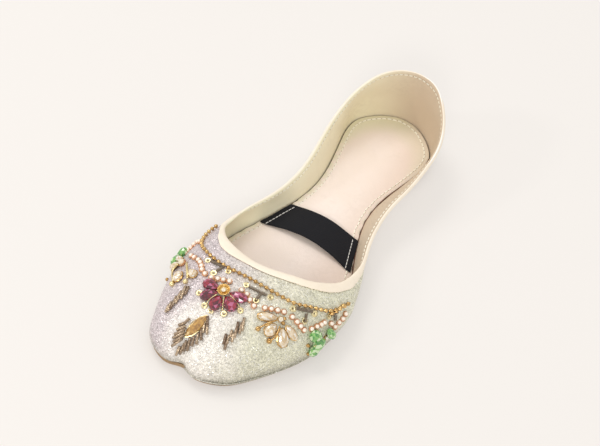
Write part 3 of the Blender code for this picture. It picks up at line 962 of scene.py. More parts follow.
@dataclass(frozen=True)
class Metal(Finish):
    """Plated metal with small scratches and tone that differs from bead to bead."""

    colour: Colour
    deep: Colour
    roughness: float = 0.24

    def paint(self, graph: Graph) -> dict[str, object]:
        """Lays out tone by bead and fine wear.

        Args:
            graph: the material's graph.

        Returns:
            The shader's inputs by name.
        """
        tone = graph.mark("tone")
        wear = graph.speckle(900.0, 4.0)
        worn = graph.ramp(wear, 0.3, 0.7, 0.0, 0.5)
        share = graph.math("MULTIPLY_ADD", tone, 0.5, worn)
        return {
            "Base Color": graph.mix(share, self.deep, self.colour),
            "Metallic": 1.0,
            "Roughness": graph.ramp(wear, 0.3, 0.75, self.roughness, self.roughness + 0.16),
            "Normal": graph.bump(wear, 0.00003, 0.5),
        }


@dataclass(frozen=True)
class Crystal(Finish):
    """Cut glass over foil: each facet shows its own depth of colour, and some carry a painted glint."""

    colour: Colour
    deep: Colour
    facet_glint: Colour
    clear: float = 0.2

    def paint(self, graph: Graph) -> dict[str, object]:
        """Lays out facet tones, cloudy depths, painted glints on some facets and a hard polish.

        Args:
            graph: the material's graph.

        Returns:
            The shader's inputs by name.
        """
        facet = graph.mark("facet")
        cloud = graph.speckle(600.0, 3.0)
        haze = graph.ramp(cloud, 0.3, 0.7, -0.25, 0.25)
        share = graph.math("ADD", facet, haze)
        base = graph.mix(graph.ramp(share, 0.1, 0.75), self.deep, self.colour)
        # Painted glints: some facets are mixed towards a light colour.
        base = graph.mix(graph.ramp(facet, 0.78, 0.84), base, self.facet_glint)
        return {
            "Base Color": base,
            "Roughness": graph.ramp(cloud, 0.35, 0.7, 0.05, 0.16),
            "Transmission Weight": self.clear,
            "IOR": 1.6,
            "Coat Weight": 1.0,
            "Coat Roughness": 0.03,
        }


@dataclass(frozen=True)
class Pearl(Finish):
    """Soft glossy nacre, pale on top as a painted highlight and peach at the sides, partly its colour and
    partly painted cup reflection.
    """

    colour: Colour = (0.96, 0.87, 0.75)
    blush_and_cup_reflection: Colour = (0.86, 0.56, 0.39)

    def paint(self, graph: Graph) -> dict[str, object]:
        """Lays out nacre clouds, a painted highlight on top and a blush with painted cup reflection, under a
        clear coat.

        Args:
            graph: the material's graph.

        Returns:
            The shader's inputs by name.
        """
        cloud = graph.speckle(700.0, 2.0)
        # Painted highlight: higher faces are paler; lower faces take the blush, partly peach nacre and partly
        # painted reflection of the cup.
        highlight_mask = graph.mark("facet")
        haze = graph.ramp(cloud, 0.3, 0.7, -0.12, 0.12)
        share = graph.ramp(graph.math("ADD", highlight_mask, haze), 0.45, 0.95)
        return {
            "Base Color": graph.mix(share, self.blush_and_cup_reflection, self.colour),
            "Roughness": graph.ramp(cloud, 0.3, 0.7, 0.16, 0.28),
            "Metallic": 0.15,
            "Coat Weight": 1.0,
            "Coat Roughness": 0.05,
            "Sheen Weight": 0.1,
        }


@dataclass(frozen=True)
class Glaze(Finish):
    """Glass bugle beads lined with metal, brown to silver from bead to bead."""

    dark: Colour
    light: Colour
    roughness: float = 0.16

    def paint(self, graph: Graph) -> dict[str, object]:
        """Lays out tone by bead and a streaky lining.

        Args:
            graph: the material's graph.

        Returns:
            The shader's inputs by name.
        """
        tone = graph.mark("tone")
        streak = graph.speckle(1500.0, 2.0)
        share = graph.math("MULTIPLY", tone, graph.ramp(streak, 0.35, 0.65, 0.3, 1.0))
        return {
            "Base Color": graph.mix(share, self.dark, self.light),
            "Metallic": graph.ramp(tone, 0.2, 0.9, 0.35, 0.8),
            "Roughness": graph.ramp(streak, 0.3, 0.7, self.roughness, self.roughness + 0.14),
            "Coat Weight": 0.8,
            "Coat Roughness": 0.06,
        }


@dataclass(frozen=True)
class Ribbon(Finish):
    """Black woven twill."""

    warp: Colour = (0.004, 0.004, 0.006)
    weft: Colour = (0.020, 0.020, 0.025)
    pitch: float = 5200.0

    def paint(self, graph: Graph) -> dict[str, object]:
        """Lays out diagonal twill lines, threads and lint.

        Args:
            graph: the material's graph.

        Returns:
            The shader's inputs by name.
        """
        axis = graph.split(graph.place())
        slant = graph.math("MULTIPLY_ADD", axis["Y"], 1.35, axis["X"])
        waves = [
            graph.math("SINE", graph.math("MULTIPLY", run, pitch))
            for run, pitch in ((slant, self.pitch), (axis["Y"], self.pitch * 2.1))
        ]
        twill, thread = (graph.math("MULTIPLY_ADD", wave, 0.5, 0.5) for wave in waves)
        lint = graph.speckle(1900.0, 2.0)
        height = graph.math("MULTIPLY_ADD", thread, 0.35, twill)
        weave = graph.mix(graph.math("MULTIPLY", twill, lint), self.warp, self.weft)
        return {
            "Base Color": weave,
            "Roughness": graph.ramp(lint, 0.3, 0.7, 0.7, 0.85),
            "Specular IOR Level": 0.2,
            "Sheen Weight": 0.05,
            "Sheen Roughness": 0.5,
            "Normal": graph.bump(height, 0.00008),
        }


@dataclass(frozen=True)
class Thread(Finish):
    """Twisted sewing thread."""

    colour: Colour
    shade: Colour

    def paint(self, graph: Graph) -> dict[str, object]:
        """Lays out ply lines and stray fibres.

        Args:
            graph: the material's graph.

        Returns:
            The shader's inputs by name.
        """
        lines = {"Vector": graph.place(), "Scale": 900.0, "Distortion": 1.5}
        ply = graph.add("TexWave", lines, bands_direction="DIAGONAL").outputs["Fac"]
        return {
            "Base Color": graph.mix(ply, self.shade, self.colour),
            "Roughness": graph.ramp(ply, 0.0, 1.0, 0.6, 0.8),
            "Sheen Weight": 0.2,
            "Normal": graph.bump(ply, 0.00004),
        }


class Look(Enum):
    """Every finish of the shoe."""

    GLITTER = GlitterCloth("glitter_cloth")
    QUARTER = Leather("cream_quarter_leather", (0.96, 0.93, 0.89), (0.93, 0.90, 0.84), soil_cover=0.07)
    # The lining's tint towards the outer side is partly its pinker colour and partly painted shade.
    LINING = Leather(
        "lining_leather", (0.98, 0.93, 0.69), (0.95, 0.89, 0.65), roughness=0.6, soil_cover=0.10,
        tint_and_shade=(0.64, 0.52, 0.39), tint_and_shade_from=(-0.034, 0.010),
    )
    # Painted gap shadow: a dark wire where the insole meets the outer lining.
    GAP_SHADOW = Leather(
        "painted_gap_shadow", (0.17, 0.075, 0.045), (0.12, 0.05, 0.03), roughness=0.55, soil_cover=0.1,
    )
    BINDING = Leather(
        "cream_binding_leather", (0.94, 0.84, 0.70), (0.92, 0.81, 0.66), roughness=0.45, soil_cover=0.08,
    )
    # The insole's tint towards the outer side is painted shade.
    INSOLE = Leather(
        "peach_insole_leather", (0.92, 0.80, 0.72), (0.90, 0.78, 0.69), roughness=0.6,
        # rim: painted shade in a band along the walls, wider at the heel.
        soil_cover=0.07, grain_scale=1000.0, grain_depth=0.00003, rim=(0.78, 0.74, 0.55),
        # edge: painted dark shade on the steep sides where the insole meets the lining.
        tint_and_shade=(0.84, 0.70, 0.61), tint_and_shade_from=(0.004, 0.024), edge=(0.16, 0.08, 0.05),
    )
    SOLE = Leather(
        "brown_sole_leather", (0.38, 0.25, 0.13), (0.29, 0.18, 0.09), roughness=0.6,
        soil_cover=0.5, soil=(0.12, 0.08, 0.05),
    )
    RIBBON = Ribbon("black_twill_ribbon")
    GOLD = Metal("plated_gold", (0.88, 0.61, 0.27), (0.40, 0.22, 0.07), roughness=0.16)
    DISH_GOLD = Metal("warm_gold_dish", (0.96, 0.70, 0.30), (0.74, 0.47, 0.15), roughness=0.18)
    ROSE_GOLD = Metal("rose_gold_cups", (0.86, 0.50, 0.27), (0.54, 0.27, 0.11))
    PALE_GOLD = Metal("pale_gold_sequins", (0.95, 0.85, 0.54), (0.78, 0.62, 0.30), roughness=0.2)
    PEARL = Pearl("peach_pearls")
    RUBY = Crystal("ruby_glass", (0.34, 0.005, 0.030), (0.075, 0.0, 0.010), (0.52, 0.13, 0.25), clear=0.1)
    CHAMPAGNE = Crystal("champagne_glass", (0.93, 0.80, 0.60), (0.72, 0.52, 0.28), (1.0, 0.97, 0.90))
    MINT = Crystal("mint_glass", (0.29, 0.60, 0.15), (0.07, 0.32, 0.06), (0.74, 0.90, 0.56))
    CLEAR = Crystal("clear_glass", (0.97, 0.92, 0.80), (0.88, 0.74, 0.48), (1.0, 1.0, 0.95), clear=0.15)
    AMBER = Crystal("amber_marquise", (0.62, 0.35, 0.08), (0.30, 0.14, 0.03), (0.84, 0.60, 0.26), clear=0.1)
    BUGLE = Glaze("bugle_glass", (0.16, 0.09, 0.045), (0.80, 0.62, 0.42))
    COIL = Glaze("coiled_wire", (0.26, 0.20, 0.14), (0.64, 0.56, 0.44), roughness=0.3)
    STITCH = Thread("pale_stitching", (1.0, 0.97, 0.84), (0.92, 0.87, 0.72))
    WHITE_STITCH = Thread("white_stitching", (0.92, 0.90, 0.86), (0.66, 0.64, 0.60))
    # Dark dots between stitches: painted shade of the needle holes and the thread's furrow.
    HOLE = Thread("needle_holes", (0.42, 0.32, 0.20), (0.28, 0.20, 0.12))
    LINING_HOLE_SHADE = Thread("lining_needle_holes", (0.58, 0.46, 0.31), (0.46, 0.35, 0.23))


# Main forms


@dataclass(frozen=True)
class Trough:
    """Soft crease between two places on the upper, or a soft ridge where its depth is negative."""

    start: Vector
    end: Vector
    width: float
    depth: float

    def fall(self, place: Vector) -> float:
        """How far the surface sinks at a place.

        Args:
            place: a point of the surface.

        Returns:
            The fall in metres, faded at the crease's ends.
        """
        run = self.end - self.start
        share = (place - self.start).dot(run) / run.length_squared
        off = (place - self.start - run * max(0.0, min(1.0, share))).length
        return self.depth * math.exp(-((off / self.width) ** 2))


@dataclass
class Upper:
    """Hollow upper: glitter vamp over leather quarters, lined, with a binding."""

    spine_low: float = -0.085
    spine_high: float = 0.088
    spine_height: float = 0.014
    slack: float = 0.00030
    seam_outer: float = -0.0115
    seam_inner: float = -0.0235
    seam_height: float = 0.0247
    seam_slope: float = 1.0
    thinned: float = 0.26
    thin_reach: float = 0.010
    tuck_rows: Rows = (-0.058, -0.046, 0.006, 0.020)
    thin_rows: Span = (-0.064, -0.042)
    binding_outer: float = 0.90
    binding_inner: float = 0.35
    band_leg: float = 0.0052
    band_leg_inner: float = 0.0080
    band_rows: Span = (-0.030, 0.005)
    throat_middle: Vector = field(default_factory=lambda: Vector((0.003, -0.020, 0.030)))
    throat_in: float = 0.0034
    foot_in: float = 0.0018
    foot_rows: Rows = (-0.070, -0.045, 0.040, 0.075)
    foot_height: Span = (0.009, 0.024)
    throat_lift: float = 0.22
    throat_reach: Span = (0.0150, 0.0080)
    troughs: tuple[Trough, ...] = tuple(Trough(Vector(start), Vector(end), *size) for start, end, *size in (
        ((-0.0112, -0.1242, 0.008), (-0.0142, -0.1205, 0.0185), 0.0036, 0.0017),
        ((-0.0142, -0.1205, 0.0185), (-0.0128, -0.1090, 0.0275), 0.0052, 0.0009),
        ((-0.0300, -0.1130, 0.014), (-0.0260, -0.1180, 0.020), 0.0075, -0.0007),
        ((-0.0030, -0.1235, 0.012), (0.0020, -0.1200, 0.020), 0.0080, -0.0008),
        ((0.0465, -0.0450, 0.016), (0.0440, -0.0140, 0.018), 0.0090, -0.0018),
        ((-0.0430, -0.0400, 0.014), (-0.0330, 0.0060, 0.015), 0.0070, -0.0012),
        ((0.0365, 0.0550, 0.024), (0.0365, 0.0850, 0.034), 0.0120, -0.0012),
        ((0.0365, 0.0850, 0.034), (0.0160, 0.1180, 0.046), 0.0140, -0.0015),
        ((-0.0150, 0.1130, 0.045), (0.0160, 0.1180, 0.046), 0.0120, -0.0014),
        ((0.0440, -0.0560, 0.010), (0.0420, -0.0400, 0.022), 0.0030, 0.0006),
        ((0.0250, -0.1080, 0.010), (0.0290, -0.0960, 0.020), 0.0040, 0.0005),
    ))

    def inside(self, place: Vector) -> Vector:
        """Nearest point of the line inside the shoe, from toe to heel."""
        along = max(self.spine_low, min(self.spine_high, place.y))
        return Vector((MIDDLE_X + swing(along), along, self.spine_height))

    def outer_face(self, place: Vector, normal: Vector) -> bool:
        """Whether a face of the wall points out of the shoe."""
        return normal.dot(place - self.inside(place)) > 0

    def sag(self, place: Vector) -> float:
        """How far the soft wall lies in from its true form at a place."""
        wave = noise.noise(place * 45.0) + 0.5 * noise.noise(place * 110.0)
        return wave * self.slack + sum(trough.fall(place) for trough in self.troughs)

    def tucked(self, place: Vector) -> float:
        """How far the topline is tucked in at a place, from 0 to 1, on the inner side alone."""
        return 0.0 if place.x > 0 else within(place.y, self.tuck_rows)

    def seam_y(self, way: float, height: float) -> float:
        """Place along the shoe of a side seam: of the outer one where way is positive."""
        seam = self.seam_outer if way > 0 else self.seam_inner
        return seam + (self.seam_height - height) * self.seam_slope

    def past_seam(self, place: Vector) -> float:
        """Distance behind the slanting side seams, negative on the vamp."""
        return place.y - self.seam_y(place.x, place.z)

    def foot_move(self, place: Vector) -> Vector:
        """How far the lining's foot stands in on the outer side, beside the ball of the foot."""
        low = 1 - eased(place.z, *self.foot_height)
        return Vector((-self.foot_in * within(place.y, self.foot_rows) * low, 0, 0))

    def drawn_in(self, place: Vector) -> Vector:
        """How far the throat's edge is drawn in at a place, most in front and on the outer side.

        Args:
            place: a point of the wall or of its binding.

        Returns:
            The move, nothing away from the throat's edge.
        """
        crest, _, far = self.crest.find(place)
        side = eased(crest.x, 0.020, 0.038)
        reach = self.throat_reach[0] * (1 - side) + self.throat_reach[1] * side
        held = eased(crest.x, -0.012, 0.022) * (1 - eased(crest.y, -0.034, 0.000))
        way = level(self.throat_middle - crest) + UP * self.throat_lift * (1 - side)
        return way * self.throat_in * held * (1 - eased(far, 0.0005, reach))

    def flatten_lap(self) -> None:
        """Smooths out the CAD wall's lap, as the sewn lap is cut in along the slanting seam."""
        edit(self.wall, "VERT")
        for way in (1, -1):
            pick(lambda at, _: abs(at.y + 0.019) < 0.012 and at.x * way > 0.02 and at.z > 0.006, "VERT")
            bpy.ops.mesh.vertices_smooth(factor=0.5, repeat=2)
        bpy.ops.object.mode_set(mode="OBJECT")

    def cut_seams(self) -> None:
        """Cuts the outer face along both side seams and gives each part its finish."""
        edit(self.wall)
        for way in (1, -1):
            pick(lambda place, _: place.x * way > 0.015 and abs(place.y) < 0.06)
            middle = (0, self.seam_y(way, self.seam_height), self.seam_height)
            bpy.ops.mesh.bisect(plane_co=middle, plane_no=(0, 1, self.seam_slope), threshold=1e-6)
        bpy.ops.object.mode_set(mode="OBJECT")
        for face in self.wall.data.polygons:
            if face.material_index != LINING:
                face.material_index = LEATHER if self.past_seam(face.center) > 0 else CLOTH

    def thin(self, outer: "Ground", inner: "Ground") -> None:
        """Pares the wall towards the topline, from inside, or from outside where it is tucked in.

        Args:
            outer: the wall's outer surface.
            inner: its inner surface.
        """
        for vertex in self.wall.data.vertices:
            near = 1 - eased(self.crest.find(vertex.co)[2], 0.001, self.thin_reach)
            share = self.thinned * near * eased(vertex.co.y, *self.thin_rows)
            if share > 0:
                tuck = self.tucked(vertex.co)
                out_way = outer.nearest(vertex.co)[0] - vertex.co
                in_way = inner.nearest(vertex.co)[0] - vertex.co
                vertex.co += (out_way * (1 - tuck) + in_way * tuck * 1.5) * share

    def build(self) -> None:
        """Makes the smooth wall and its binding."""
        cage = Cage("upper", "upper_wall")
        self.wall = cage.piece
        for look in (Look.GLITTER, Look.QUARTER, Look.LINING):
            self.wall.data.materials.append(look.value.material())
        for face in self.wall.data.polygons:
            face.material_index = CLOTH if self.outer_face(face.center, face.normal) else LINING
        self.foot = cage.loop(Vector((0.0035, 0.1245, 0.0038)))
        top = [v.co for v in self.wall.data.vertices if v.co.z > 0.046 and abs(v.co.x - 0.003) < 0.006]
        outer_top = cage.loop(max(top, key=lambda place: place.y))
        self.lip = cage.loop(min(top, key=lambda place: place.y))
        rim = {tuple(np.round(point, 6)) for point in np.vstack([outer_top, self.lip])}
        places = [tuple(np.round(vertex.co[:], 6)) for vertex in self.wall.data.vertices]
        on_rim = [all(places[i] in rim for i in face.vertices) for face in self.wall.data.polygons]
        before = Ground(self.wall)
        outer, inner = (
            Ground(self.wall, lambda face: face.material_index == side and not on_rim[face.index])
            for side in (CLOTH, LINING)
        )
        self.crest = tree_of(evenly(outer_top, 0.0005, closed=True))
        self.flatten_lap()
        cage.crease(lambda place, normal: abs(normal.z) > 0.9 and place.z < 0.0045, 0.6)
        cage.subdivide(2)
        self.thin(outer, inner)
        for vertex in self.wall.data.vertices:
            way = (vertex.co - self.inside(vertex.co)).normalized()
            vertex.co -= way * self.sag(vertex.co)
        self.cut_seams()
        self.build_binding(before)
        lined = [face.vertices for face in self.wall.data.polygons if face.material_index == LINING]
        for index in {index for ends in lined for index in ends}:
            vertex = self.wall.data.vertices[index]
            if vertex.co.x > 0.01:
                vertex.co += self.foot_move(vertex.co)
        for piece in (self.wall, self.binding):
            for vertex in piece.data.vertices:
                vertex.co += self.drawn_in(vertex.co)

    def build_binding(self, before: "Ground") -> None:
        """Folds the binding over the pared edge.

        Args:
            before: the CAD wall's surface, from which the binding's own form is read.
        """
        cage = Cage("topline_binding", "binding_strip")
        after = Ground(self.wall)
        inward, legs = {}, {}
        for vertex in cage.piece.data.vertices:
            off = vertex.co - before.nearest(vertex.co)[0]
            inward[vertex.index] = off.dot(self.inside(vertex.co) - vertex.co) > 0
            if not inward[vertex.index]:
                _, mark, far = self.crest.find(vertex.co)
                legs[mark // 12] = max(far, legs.get(mark // 12, 0.0))
        for vertex in cage.piece.data.vertices:
            off = vertex.co - before.nearest(vertex.co)[0]
            crest, mark, _ = self.crest.find(vertex.co)
            pulled = vertex.co.copy()
            if not inward[vertex.index]:
                inner_side = eased(-crest.x, 0.005, 0.025)
                leg = self.band_leg + (self.band_leg_inner - self.band_leg) * inner_side
                wide = max(1.0, leg / legs[mark // 12]) - 1
                fade = 1 - eased(vertex.co.y, *self.band_rows)
                pulled = crest + (vertex.co - crest) * (1 + wide * fade) * (1 - 0.6 * self.tucked(vertex.co))
            throat = 1 - eased(vertex.co.y, *self.thin_rows)
            share = self.binding_inner + throat * 0.5 if inward[vertex.index] else self.binding_outer
            vertex.co = after.nearest(pulled)[0] + off * share
        for look in (Look.BINDING, Look.LINING):
            cage.piece.data.materials.append(look.value.material())
        self.binding = cage.subdivide(2)
        for face in self.binding.data.polygons:
            inner_leg = face.normal.dot(level(self.inside(face.center) - face.center)) > 0.6
            face.material_index = 1 if inner_leg else 0

    def lining(self) -> "Ground":
        """Inner surface of the finished wall."""
        return Ground(self.wall, lambda face: face.material_index == LINING)

    def dress(self) -> None:
        """Ties the wall and its binding to the frame."""
        settle(self.wall, None, ["upper"])
        settle(self.binding, None, ["topline_binding"])


@dataclass
class Rand:
    """Thin fold of cloth where the outer side of the vamp meets the sole."""

    upper: Upper
    radius: float = 0.0006
    rise: float = 0.0007
    out: float = 0.0001
    start: Vector = field(default_factory=lambda: Vector((-0.0095, -0.1235, 0.005)))

    def build(self) -> None:
        """Lays the fold along the upper's foot, from the notch to the outer seam."""
        points = [Vector(point) for point in evenly(self.upper.foot, 0.0030, closed=True)]
        kept = [point for point in points if point.x > self.start.x and self.upper.past_seam(point) < 0]
        run = []
        for point in sorted(kept, key=lambda place: (place - self.start).length):
            way = level(point - self.upper.inside(point))
            run.append(point + way * self.out + UP * self.rise)
        self.piece = wire("vamp_rand", run, self.radius)

    def dress(self) -> None:
        """Gives the fold its cloth."""
        settle(self.piece, Look.GLITTER)


@dataclass
class Bottom:
    """Outsole and padded insole, with painted shade along the walls and a painted gap shadow."""

    upper: Upper
    edge_reach: Span = (0.0010, 0.0080)
    inner_gap: float = 0.0007
    rim_shade_reach: Span = (0.0020, 0.0064)
    heel_shade_reach: Span = (0.0060, 0.0270)
    heel_shade_rows: Span = (0.070, 0.112)
    outer_shade: float = 0.5
    dent: float = 0.00022
    gap_shadow_rows: Span = (-0.026, 0.101)
    gap_shadow_clear: float = 0.0006
    gap_shadow_clear_rows: Span = (0.035, 0.060)
    gap_shadow_thickness: float = 0.00036

    def build(self) -> None:
        """Makes smooth copies of both, the insole trimmed to the lining and given a painted shade band along
        the walls.
        """
        sole = Cage("outsole", "leather_sole")
        sole.crease(lambda place, normal: abs(normal.z) > 0.9, 0.75)
        self.sole = sole.subdivide(1)
        take(self.sole)
        bpy.ops.object.shade_smooth_by_angle(angle=math.radians(35))
        self.insole = Cage("insole", "insole_sock").subdivide(2)
        foot = tree_of(self.upper.foot * (1, 1, 0))
        rim_shades = []
        for vertex in self.insole.data.vertices:
            if vertex.co.z > 0.006:
                dent = noise.noise(vertex.co * 28.0) + 0.4 * noise.noise(vertex.co * 90.0)
                vertex.co.z += self.dent * dent
            far = foot.find((vertex.co.x, vertex.co.y, 0))[2]
            close = 1 - eased(far, *self.edge_reach)
            # rim_shades: painted shade along the walls, wider towards the heel and lighter on the outer side.
            back = eased(vertex.co.y, *self.heel_shade_rows)
            low, high = np.array(self.rim_shade_reach) * (1 - back) + np.array(self.heel_shade_reach) * back
            side = 1.0 - (1.0 - self.outer_shade) * eased(vertex.co.x, 0.0, 0.016)
            rim_shades.append((1 - eased(far, low, high)) * side)
            if vertex.co.x > 0.01:
                vertex.co += self.upper.foot_move(Vector((0, vertex.co.y, 0))) * close
            elif vertex.co.x < -0.01 and vertex.co.y < 0.02:
                vertex.co.x += self.inner_gap * close
        self.insole.data.attributes.new("rim", "FLOAT", "POINT").data.foreach_set("value", rim_shades)
        self.build_gap_shadow()

    def build_gap_shadow(self) -> None:
        """Lays a thin dark wire along the lining, on the outer side: a painted gap shadow between insole and
        lining.
        """
        lining, sock = self.upper.lining(), Ground(self.insole)
        run = []
        for along in np.linspace(*self.gap_shadow_rows, 48):
            height = 0.012
            for _ in range(3):
                wall = lining.hit(Vector((0.012, along, height)), OUTWARD)
                foot = sock.under(Vector((wall.x - 0.0009, along, 0.03)))
                height = foot.z + 0.0003
            off = self.gap_shadow_clear * eased(along, *self.gap_shadow_clear_rows)
            run.append((wall.x - 0.0003 - off, along, foot.z + 0.0001 + off))
        line = smoothed(np.array(run), 3)
        self.edge = wire("insole_gap_shadow", [Vector(point) for point in line], self.gap_shadow_thickness)

    def dress(self) -> None:
        """Gives both their leather, and the painted gap shadow its dark finish."""
        settle(self.sole, Look.SOLE, ["outsole"])
        settle(self.insole, Look.INSOLE, ["insole"])
        settle(self.edge, Look.GAP_SHADOW)


@dataclass
class Band:
    """Black woven band across the insole, left bare, sewn at its two ends."""

    width: float = 0.0225
    length: float = 0.0665
    front_shift: float = 0.0028
    front_lift: float = 0.0009
    back_shift: float = 0.0012
    end_trim: float = 0.0010

    def build(self) -> None:
        """Makes the band from its CAD solid, its front edge arched off the insole."""
        band = Cage("label_band", "ribbon_band")
        low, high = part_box("label_band")
        middle, half = (low + high) / 2, (high - low) / 2
        band.crease(lambda place, normal: abs(normal.z) < 0.6, 0.9)
        self.piece = band.subdivide(2)
        for vertex in self.piece.data.vertices:
            across = (vertex.co.x - middle.x) / half.x
            front = 0.5 - (vertex.co.y - middle.y) / half.y / 2
            arch = max(0.0, 1 - abs(across * 1.12) ** 2.2) ** 1.1
            vertex.co.y += arch * (self.back_shift + (self.front_shift - self.back_shift) * front)
            vertex.co.z += arch * self.front_lift * front + 0.0002 * noise.noise(vertex.co * 120.0)
            vertex.co.x -= self.end_trim * eased(across, 0.75, 1.0)

    def dress(self) -> None:
        settle(self.piece, Look.RIBBON, ["label_band"])


# Surfaces that carry stitches and beads


class Ground:
    """Finished surface on which small pieces are seated."""

    def __init__(
        self,
        piece: Piece,
        keep: Callable[[bpy.types.MeshPolygon], bool] | None = None,
        camera: PhotoCamera | None = None,
    ) -> None:
        """Reads the finished mesh.

        Args:
            piece: the mesh object that forms the surface.
            keep: says which faces count, or None for all.
            camera: the photo's camera, where pieces are placed by where they show.
        """
        points = [vertex.co.copy() for vertex in piece.data.vertices]
        faces = [list(face.vertices) for face in piece.data.polygons if keep is None or keep(face)]
        self.tree = BVHTree.FromPolygons(points, faces)
        self.camera = camera

    def nearest(self, place: Vector) -> tuple[Vector, Vector]:
        """Nearest point of the surface, and its normal."""
        return self.tree.find_nearest(place)[:2]

    def hit(self, start: Vector, way: Vector) -> Vector | None:
        """First point of the surface from a start in a direction, if there is one."""
        return self.tree.ray_cast(start, way)[0]

    def under(self, place: Vector) -> Vector:
        """Point of the surface straight below a place, or else the nearest one."""
        return self.hit(place, -UP) or self.nearest(place)[0]

    def seen(self, pixel: Pixel, height: float) -> tuple[Vector, Vector]:
        """Foot of a small piece whose middle shows at a pixel of the photo.

        Args:
            pixel: column and row.
            height: how high over the surface the piece's middle is.

        Returns:
            The point of the surface under the piece, and the normal there.
        """
        eye, way = self.camera.place(), self.camera.ray(pixel)
        point, normal, _, _ = self.tree.ray_cast(eye, way)
        if point is None:
            marks = [eye + way * (self.camera.distance + step * 0.0005) for step in range(-200, 200)]
            return self.nearest(min(marks, key=lambda mark: (self.nearest(mark)[0] - mark).length))
        lean = max(0.3, -way.dot(normal))
        return self.nearest(point - way * (height / lean))


def make_stitch(length: float, radius: float) -> Bead:
    """One stitch of thread: a long bead that dips at both ends.

    Args:
        length: the stitch's length.
        radius: half the thread's thickness.

    Returns:
        The bead, its length along X.
    """
    bpy.ops.mesh.primitive_uv_sphere_add(segments=8, ring_count=6, radius=radius, rotation=ON_SIDE)
    piece = started("VERT")
    for way in (1, -1):
        pick(lambda place, _: place.x * way > radius * 0.2, "VERT")
        bpy.ops.transform.translate(value=(way * (length / 2 - radius), 0, 0))
    pick(lambda place, _: abs(place.x) > length / 2 - radius * 0.6, "VERT")
    bpy.ops.transform.translate(value=(0, 0, -radius * 0.5))
    return Bead.closed(piece)


def sew(
    name: str,
    run: Array,
    ground: Ground,
    look: Look,
    pitch: float,
    stitch: Bead,
    closed: bool = False,
    between: bool = False,
) -> None:
    """Row of stitches that follows a run over a surface.

    Args:
        name: the new object's name.
        run: the points to follow.
        ground: the surface to sew to.
        look: the thread's finish.
        pitch: the distance from stitch to stitch.
        stitch: one stitch.
        closed: whether the row closes on itself.
        between: whether the pieces lie between the stitches of a like row.
    """
    marks = evenly(run, pitch, closed)
    if between:
        marks = (marks + np.roll(marks, -1, 0)) / 2 if closed else (marks[1:] + marks[:-1]) / 2
    seats = []
    for number, mark in enumerate(marks):
        last = marks[number - 1] if number or closed else mark
        after = marks[(number + 1) % len(marks)] if closed or number + 1 < len(marks) else mark
        point, normal = ground.nearest(Vector(mark))
        seats.append(placed(point + normal * THREAD_LIFT, Vector(after - last), normal))
    settle(copies(name, stitch, seats), look)


